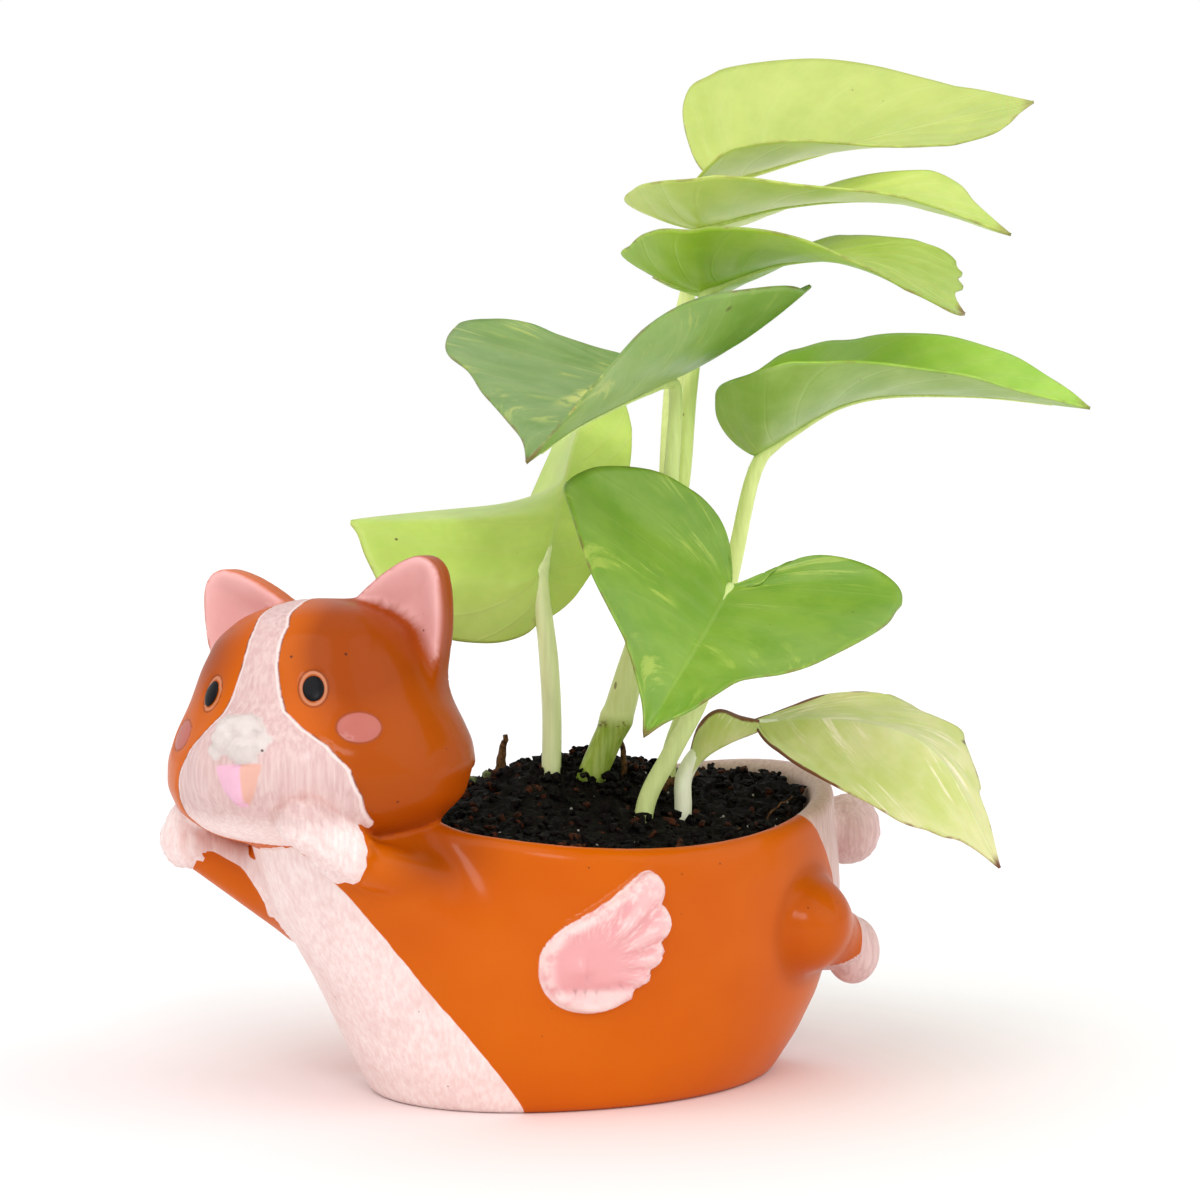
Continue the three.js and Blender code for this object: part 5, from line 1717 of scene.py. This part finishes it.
@dataclass
class PottingMix:
    """Crumbly dark soil with chips, roots and scraps on top."""

    planter: PuppyPlanter
    cell: float = 1.1
    below_rim: float = 1.6
    crown: float = 12.0
    crown_centre: tuple = (-10.0, 8.0)
    crown_spread: float = 24.0
    half_length: float = 47.2
    half_width: float = 35.6
    crumbs: int = 1500
    grain_size: tuple = (0.35, 0.3, 0.3)
    green_lumps: tuple = (((-21.6, -13, 58.2), (1.9, 1.3, 1.2)), ((-18.2, -14, 58.9), (1.3, 1.1, 1.3)))
    twigs: tuple = (((-15.2, -14, 59), (-15, -14, 63), (-14.2, -13.6, 67.4), 1.3, 0.5),
                    ((10.2, -7, 56), (10.0, -7, 63), (9.4, -7.5, 69), 0.7, 0.5),
                    ((15.5, -2, 56.5), (20, -1, 59), (25, 0.5, 61), 1.3, 0.5),
                    ((37, 6, 51), (40, 4, 54), (43.5, 2, 56.4), 0.25, 0.15))
    twig_steps: int = 12
    roots: tuple = (((41.5, 2, 47), (43, -3, 49.5), (45, -9, 51.5), (43.6, -12, 53)),
                    ((30, 14, 49.5), (33, 12, 51.2), (34.6, 13, 50.6), (37, 11, 51.4)),
                    ((-17, 6, 54.6), (-13, 8, 54), (-9, 7, 54.8), (-6, 9, 53.6)))
    root_radius: float = 0.16
    root_steps: int = 24

    def height(self, p: Points) -> Points:
        """Height of the soil with its lumps.

        Args:
            p: Points over it.

        Returns:
            Heights.
        """
        x, y = p[:, 0], p[:, 1]
        distance = np.hypot(x - self.crown_centre[0], y - self.crown_centre[1])
        lumps = 0.5 * np.sin(0.55 * x + 1.3) * np.cos(0.48 * y) + 0.35 * np.sin(0.9 * y + 0.6 * x)
        return self.planter.rim(p) - self.below_rim + self.crown * ridge(distance, self.crown_spread) + lumps

    def bed(self) -> None:
        """Soil body from the bottom of the bowl to its crumbly top."""
        mesh = remeshed("soil", self.cell)
        p = coordinates(mesh)
        top = p[:, 2] > self.planter.rim(p) - 5
        grit = np.random.default_rng(SEED).normal(0, 0.35, len(p))
        waves = 0.5 * np.sin(1.9 * p[:, 0] + 0.7 * p[:, 1]) * np.sin(2.3 * p[:, 1] - 0.5 * p[:, 0])
        p[:, 2] += np.where(top, np.clip(grit + 0.5 * waves, -0.9, 0.7), 0)
        set_coordinates(mesh, p)
        add_piece("soil_bed", mesh, (Earth("bed_earth", (18, 12, 9), (3, 2, 2)).build(),), Slot.SOIL, "soil")

    def scatter(self, rng: random.Random) -> Points:
        """Random places for the crumbs, clear of the wall.

        Args:
            rng: Source of the places.

        Returns:
            Points on top of the soil.
        """
        found = []
        while len(found) < self.crumbs:
            x, y = rng.uniform(-1, 1), rng.uniform(-1, 1)
            if x * x + y * y < 0.985:
                found.append((x * self.half_width, self.planter.opening_y + y * self.half_length, 0))
        p = np.array(found)
        p[:, 2] = self.height(p)
        return p

    def crumb(self, bm: bmesh.types.BMesh, shape: Matrix, kind: Crumb, rng: random.Random) -> None:
        """Add one crumb.

        Args:
            bm: Mesh that gets it.
            shape: Matrix that turns a unit ball into it.
            kind: Its kind.
            rng: Source of its unevenness.
        """
        made = bmesh.ops.create_icosphere(bm, subdivisions=1, radius=1)["verts"]
        for vert in made:
            vert.co *= rng.uniform(0.75, 1.2)
        bmesh.ops.transform(bm, matrix=shape, verts=made)
        for face in {f for v in made for f in v.link_faces}:
            face.material_index = kind.value

    def litter(self) -> None:
        """Crumbs, bark chips and pale grains over the top."""
        rng = random.Random(SEED)
        bm = bmesh.new()
        for i, spot in enumerate(self.scatter(rng)):
            angle, tilt = rng.uniform(0, 6.3), Vector((rng.gauss(0, 1), rng.gauss(0, 1), 1))
            turn = Matrix.Rotation(angle, 3, tilt.normalized())
            kind = Crumb.EARTH if i % 6 else Crumb.BARK if i % 5 else Crumb.GRAIN
            base = rng.choice((0.5, 0.7, 0.9, 1.3)) if kind is Crumb.EARTH else rng.uniform(0.6, 1.1)
            size = (base * rng.uniform(0.8, 1.9), base * rng.uniform(0.6, 1.1), base * rng.uniform(0.4, 0.9))
            lift = (0, 0, rng.uniform(-0.2, 0.5))
            shape = stretched(spot + lift, turn, self.grain_size if kind is Crumb.GRAIN else size)
            self.crumb(bm, shape, kind, rng)
        for spot, size in self.green_lumps:
            self.crumb(bm, stretched(place(spot), Matrix.Rotation(0.6, 3, "Z"), size), Crumb.GREEN, rng)
        matter = (Earth("crumb_earth", (20, 13, 10), (4, 3, 3)), Earth("bark_chips", (84, 42, 24), (36, 20, 12)),
                  Earth("pale_grains", (200, 196, 188), (150, 146, 138)),
                  Earth("green_lumps", (128, 138, 92), (84, 92, 60)))
        mesh = to_mesh(bm, "soil_litter")
        add_piece("soil_litter", mesh, tuple(kind.build() for kind in matter), Slot.SOIL)
        for polygon in mesh.polygons:
            polygon.use_smooth = False

    def strands(self) -> None:
        """Thin roots and twigs that stick up or lie on the soil."""
        whole = bmesh.new()
        rng = random.Random(SEED + 1)
        for *route, thick, thin in self.twigs:
            points = spline(place(route), np.linspace(0, 1, self.twig_steps))
            points += np.array([[rng.gauss(0, 0.12) for _ in range(3)] for _ in range(self.twig_steps)])
            whole.from_mesh(tube("twig", points, np.linspace(thick, thin, self.twig_steps), 8))
        for route in self.roots:
            points = spline(place(route), np.linspace(0, 1, self.root_steps))
            whole.from_mesh(tube("root", points, np.full(self.root_steps, self.root_radius), 8))
        bark = Earth("twig_bark", (120, 84, 50), (64, 42, 24)).build()
        add_piece("soil_twigs", to_mesh(whole, "soil_twigs"), (bark,), Slot.SOIL)

    def build(self) -> None:
        """Make the soil and everything that lies on it."""
        self.bed()
        self.litter()
        self.strands()


@dataclass(frozen=True)
class Paper:
    """Pale floor paper with a painted pink glow near the middle, standing in for light reflected from the pot."""

    sheet: tuple = ((252, 251, 251), (254, 253, 254))
    reflected_glow: Colour = (240, 206, 200)
    nearness: float = 0.0075

    def build(self) -> bpy.types.Material:
        """Make the material."""
        f = Finish("floor_paper", 0.55)
        f.colour = f.blend(f.noise(f.mm, 180, 2), *self.sheet)
        middle = f.millimetres((self.nearness,) * 3)
        near = f.node("TexGradient", {0: middle}, gradient_type="SPHERICAL").outputs[1]
        # Painted reflection: the pot's pink glow on the paper round its base
        f.lay(near, self.reflected_glow, 0.65)
        return f.done(Specular_IOR_Level=0.0)


@dataclass
class Studio:
    """Pale floor, soft daylight and the camera."""

    eye: tuple = (0.4617, -0.3169, 0.114)
    pitch: float = math.radians(1.88)
    turn: float = FRONT_TURN
    lens: float = 84.0
    sensor: float = 36.0
    paper: Colour = (255, 255, 255)
    ambient: float = 0.73
    floor_radius: float = 30.0
    suns: tuple = (("key", -32, 54, 60, 1.0), ("fill", 75, 32, 60, 0.6), ("spark", 12, 28, 16, 0.5))

    def floor(self) -> None:
        """Pale seamless floor."""
        bm = bmesh.new()
        bmesh.ops.create_circle(bm, cap_ends=True, radius=self.floor_radius, segments=64)
        piece = new_object("floor", to_mesh(bm, "floor"))
        piece.data.materials.append(Paper().build())

    def sun(self, name: str, azimuth: float, elevation: float, spread: float, strength: float) -> None:
        """Add soft light from one direction.

        Args:
            name: Name of the light.
            azimuth: Degrees round from the camera's side, to the right.
            elevation: Degrees above the floor.
            spread: Degrees across the light.
            strength: Its strength.
        """
        data = bpy.data.lights.new(name, "SUN")
        data.angle = math.radians(spread)
        data.energy = strength
        bearing = self.turn - math.pi / 2 + math.radians(azimuth)
        rise = math.radians(elevation)
        toward = Vector((math.cos(bearing) * math.cos(rise), math.sin(bearing) * math.cos(rise), math.sin(rise)))
        lamp = new_object(name, data)
        lamp.rotation_euler = toward.to_track_quat("Z", "Y").to_euler()
        lamp.location = toward

    def surround(self) -> None:
        """Plain white surround, dimmer as a light than as it looks."""
        world = bpy.data.worlds.new("studio")
        world.use_nodes = True
        tree = world.node_tree
        shown = tree.nodes["Background"]
        shown.inputs[0].default_value = linear(self.paper)
        glow = tree.nodes.new("ShaderNodeBackground")
        glow.inputs[0].default_value = (1, 1, 1, 1)
        glow.inputs[1].default_value = self.ambient
        path = tree.nodes.new("ShaderNodeLightPath")
        mix = tree.nodes.new("ShaderNodeMixShader")
        for output, socket in ((path.outputs["Is Camera Ray"], mix.inputs[0]), (glow.outputs[0], mix.inputs[1]),
                               (shown.outputs[0], mix.inputs[2]),
                               (mix.outputs[0], tree.nodes["World Output"].inputs[0])):
            tree.links.new(output, socket)
        bpy.context.scene.world = world

    def build(self) -> None:
        """Set the stage and the camera."""
        bpy.context.scene.view_settings.view_transform = "Standard"
        self.floor()
        self.surround()
        for sun in self.suns:
            self.sun(*sun)
        data = bpy.data.cameras.new("camera")
        data.lens = self.lens
        data.sensor_width = self.sensor
        camera = new_object("camera", data)
        camera.location = self.eye
        camera.rotation_euler = (math.pi / 2 - self.pitch, 0, self.turn)
        bpy.context.scene.camera = camera


def main() -> None:
    """Build every piece in order and log each piece's face count."""
    logging.basicConfig(level=logging.INFO, format="%(name)s %(message)s")
    Studio().build()
    planter = PuppyPlanter()
    planter.build()
    PottingMix(planter).build()
    Vine().build()
    for leaf in LEAVES:
        LeafBuilder(leaf).build()


if __name__ == "__main__":
    main()
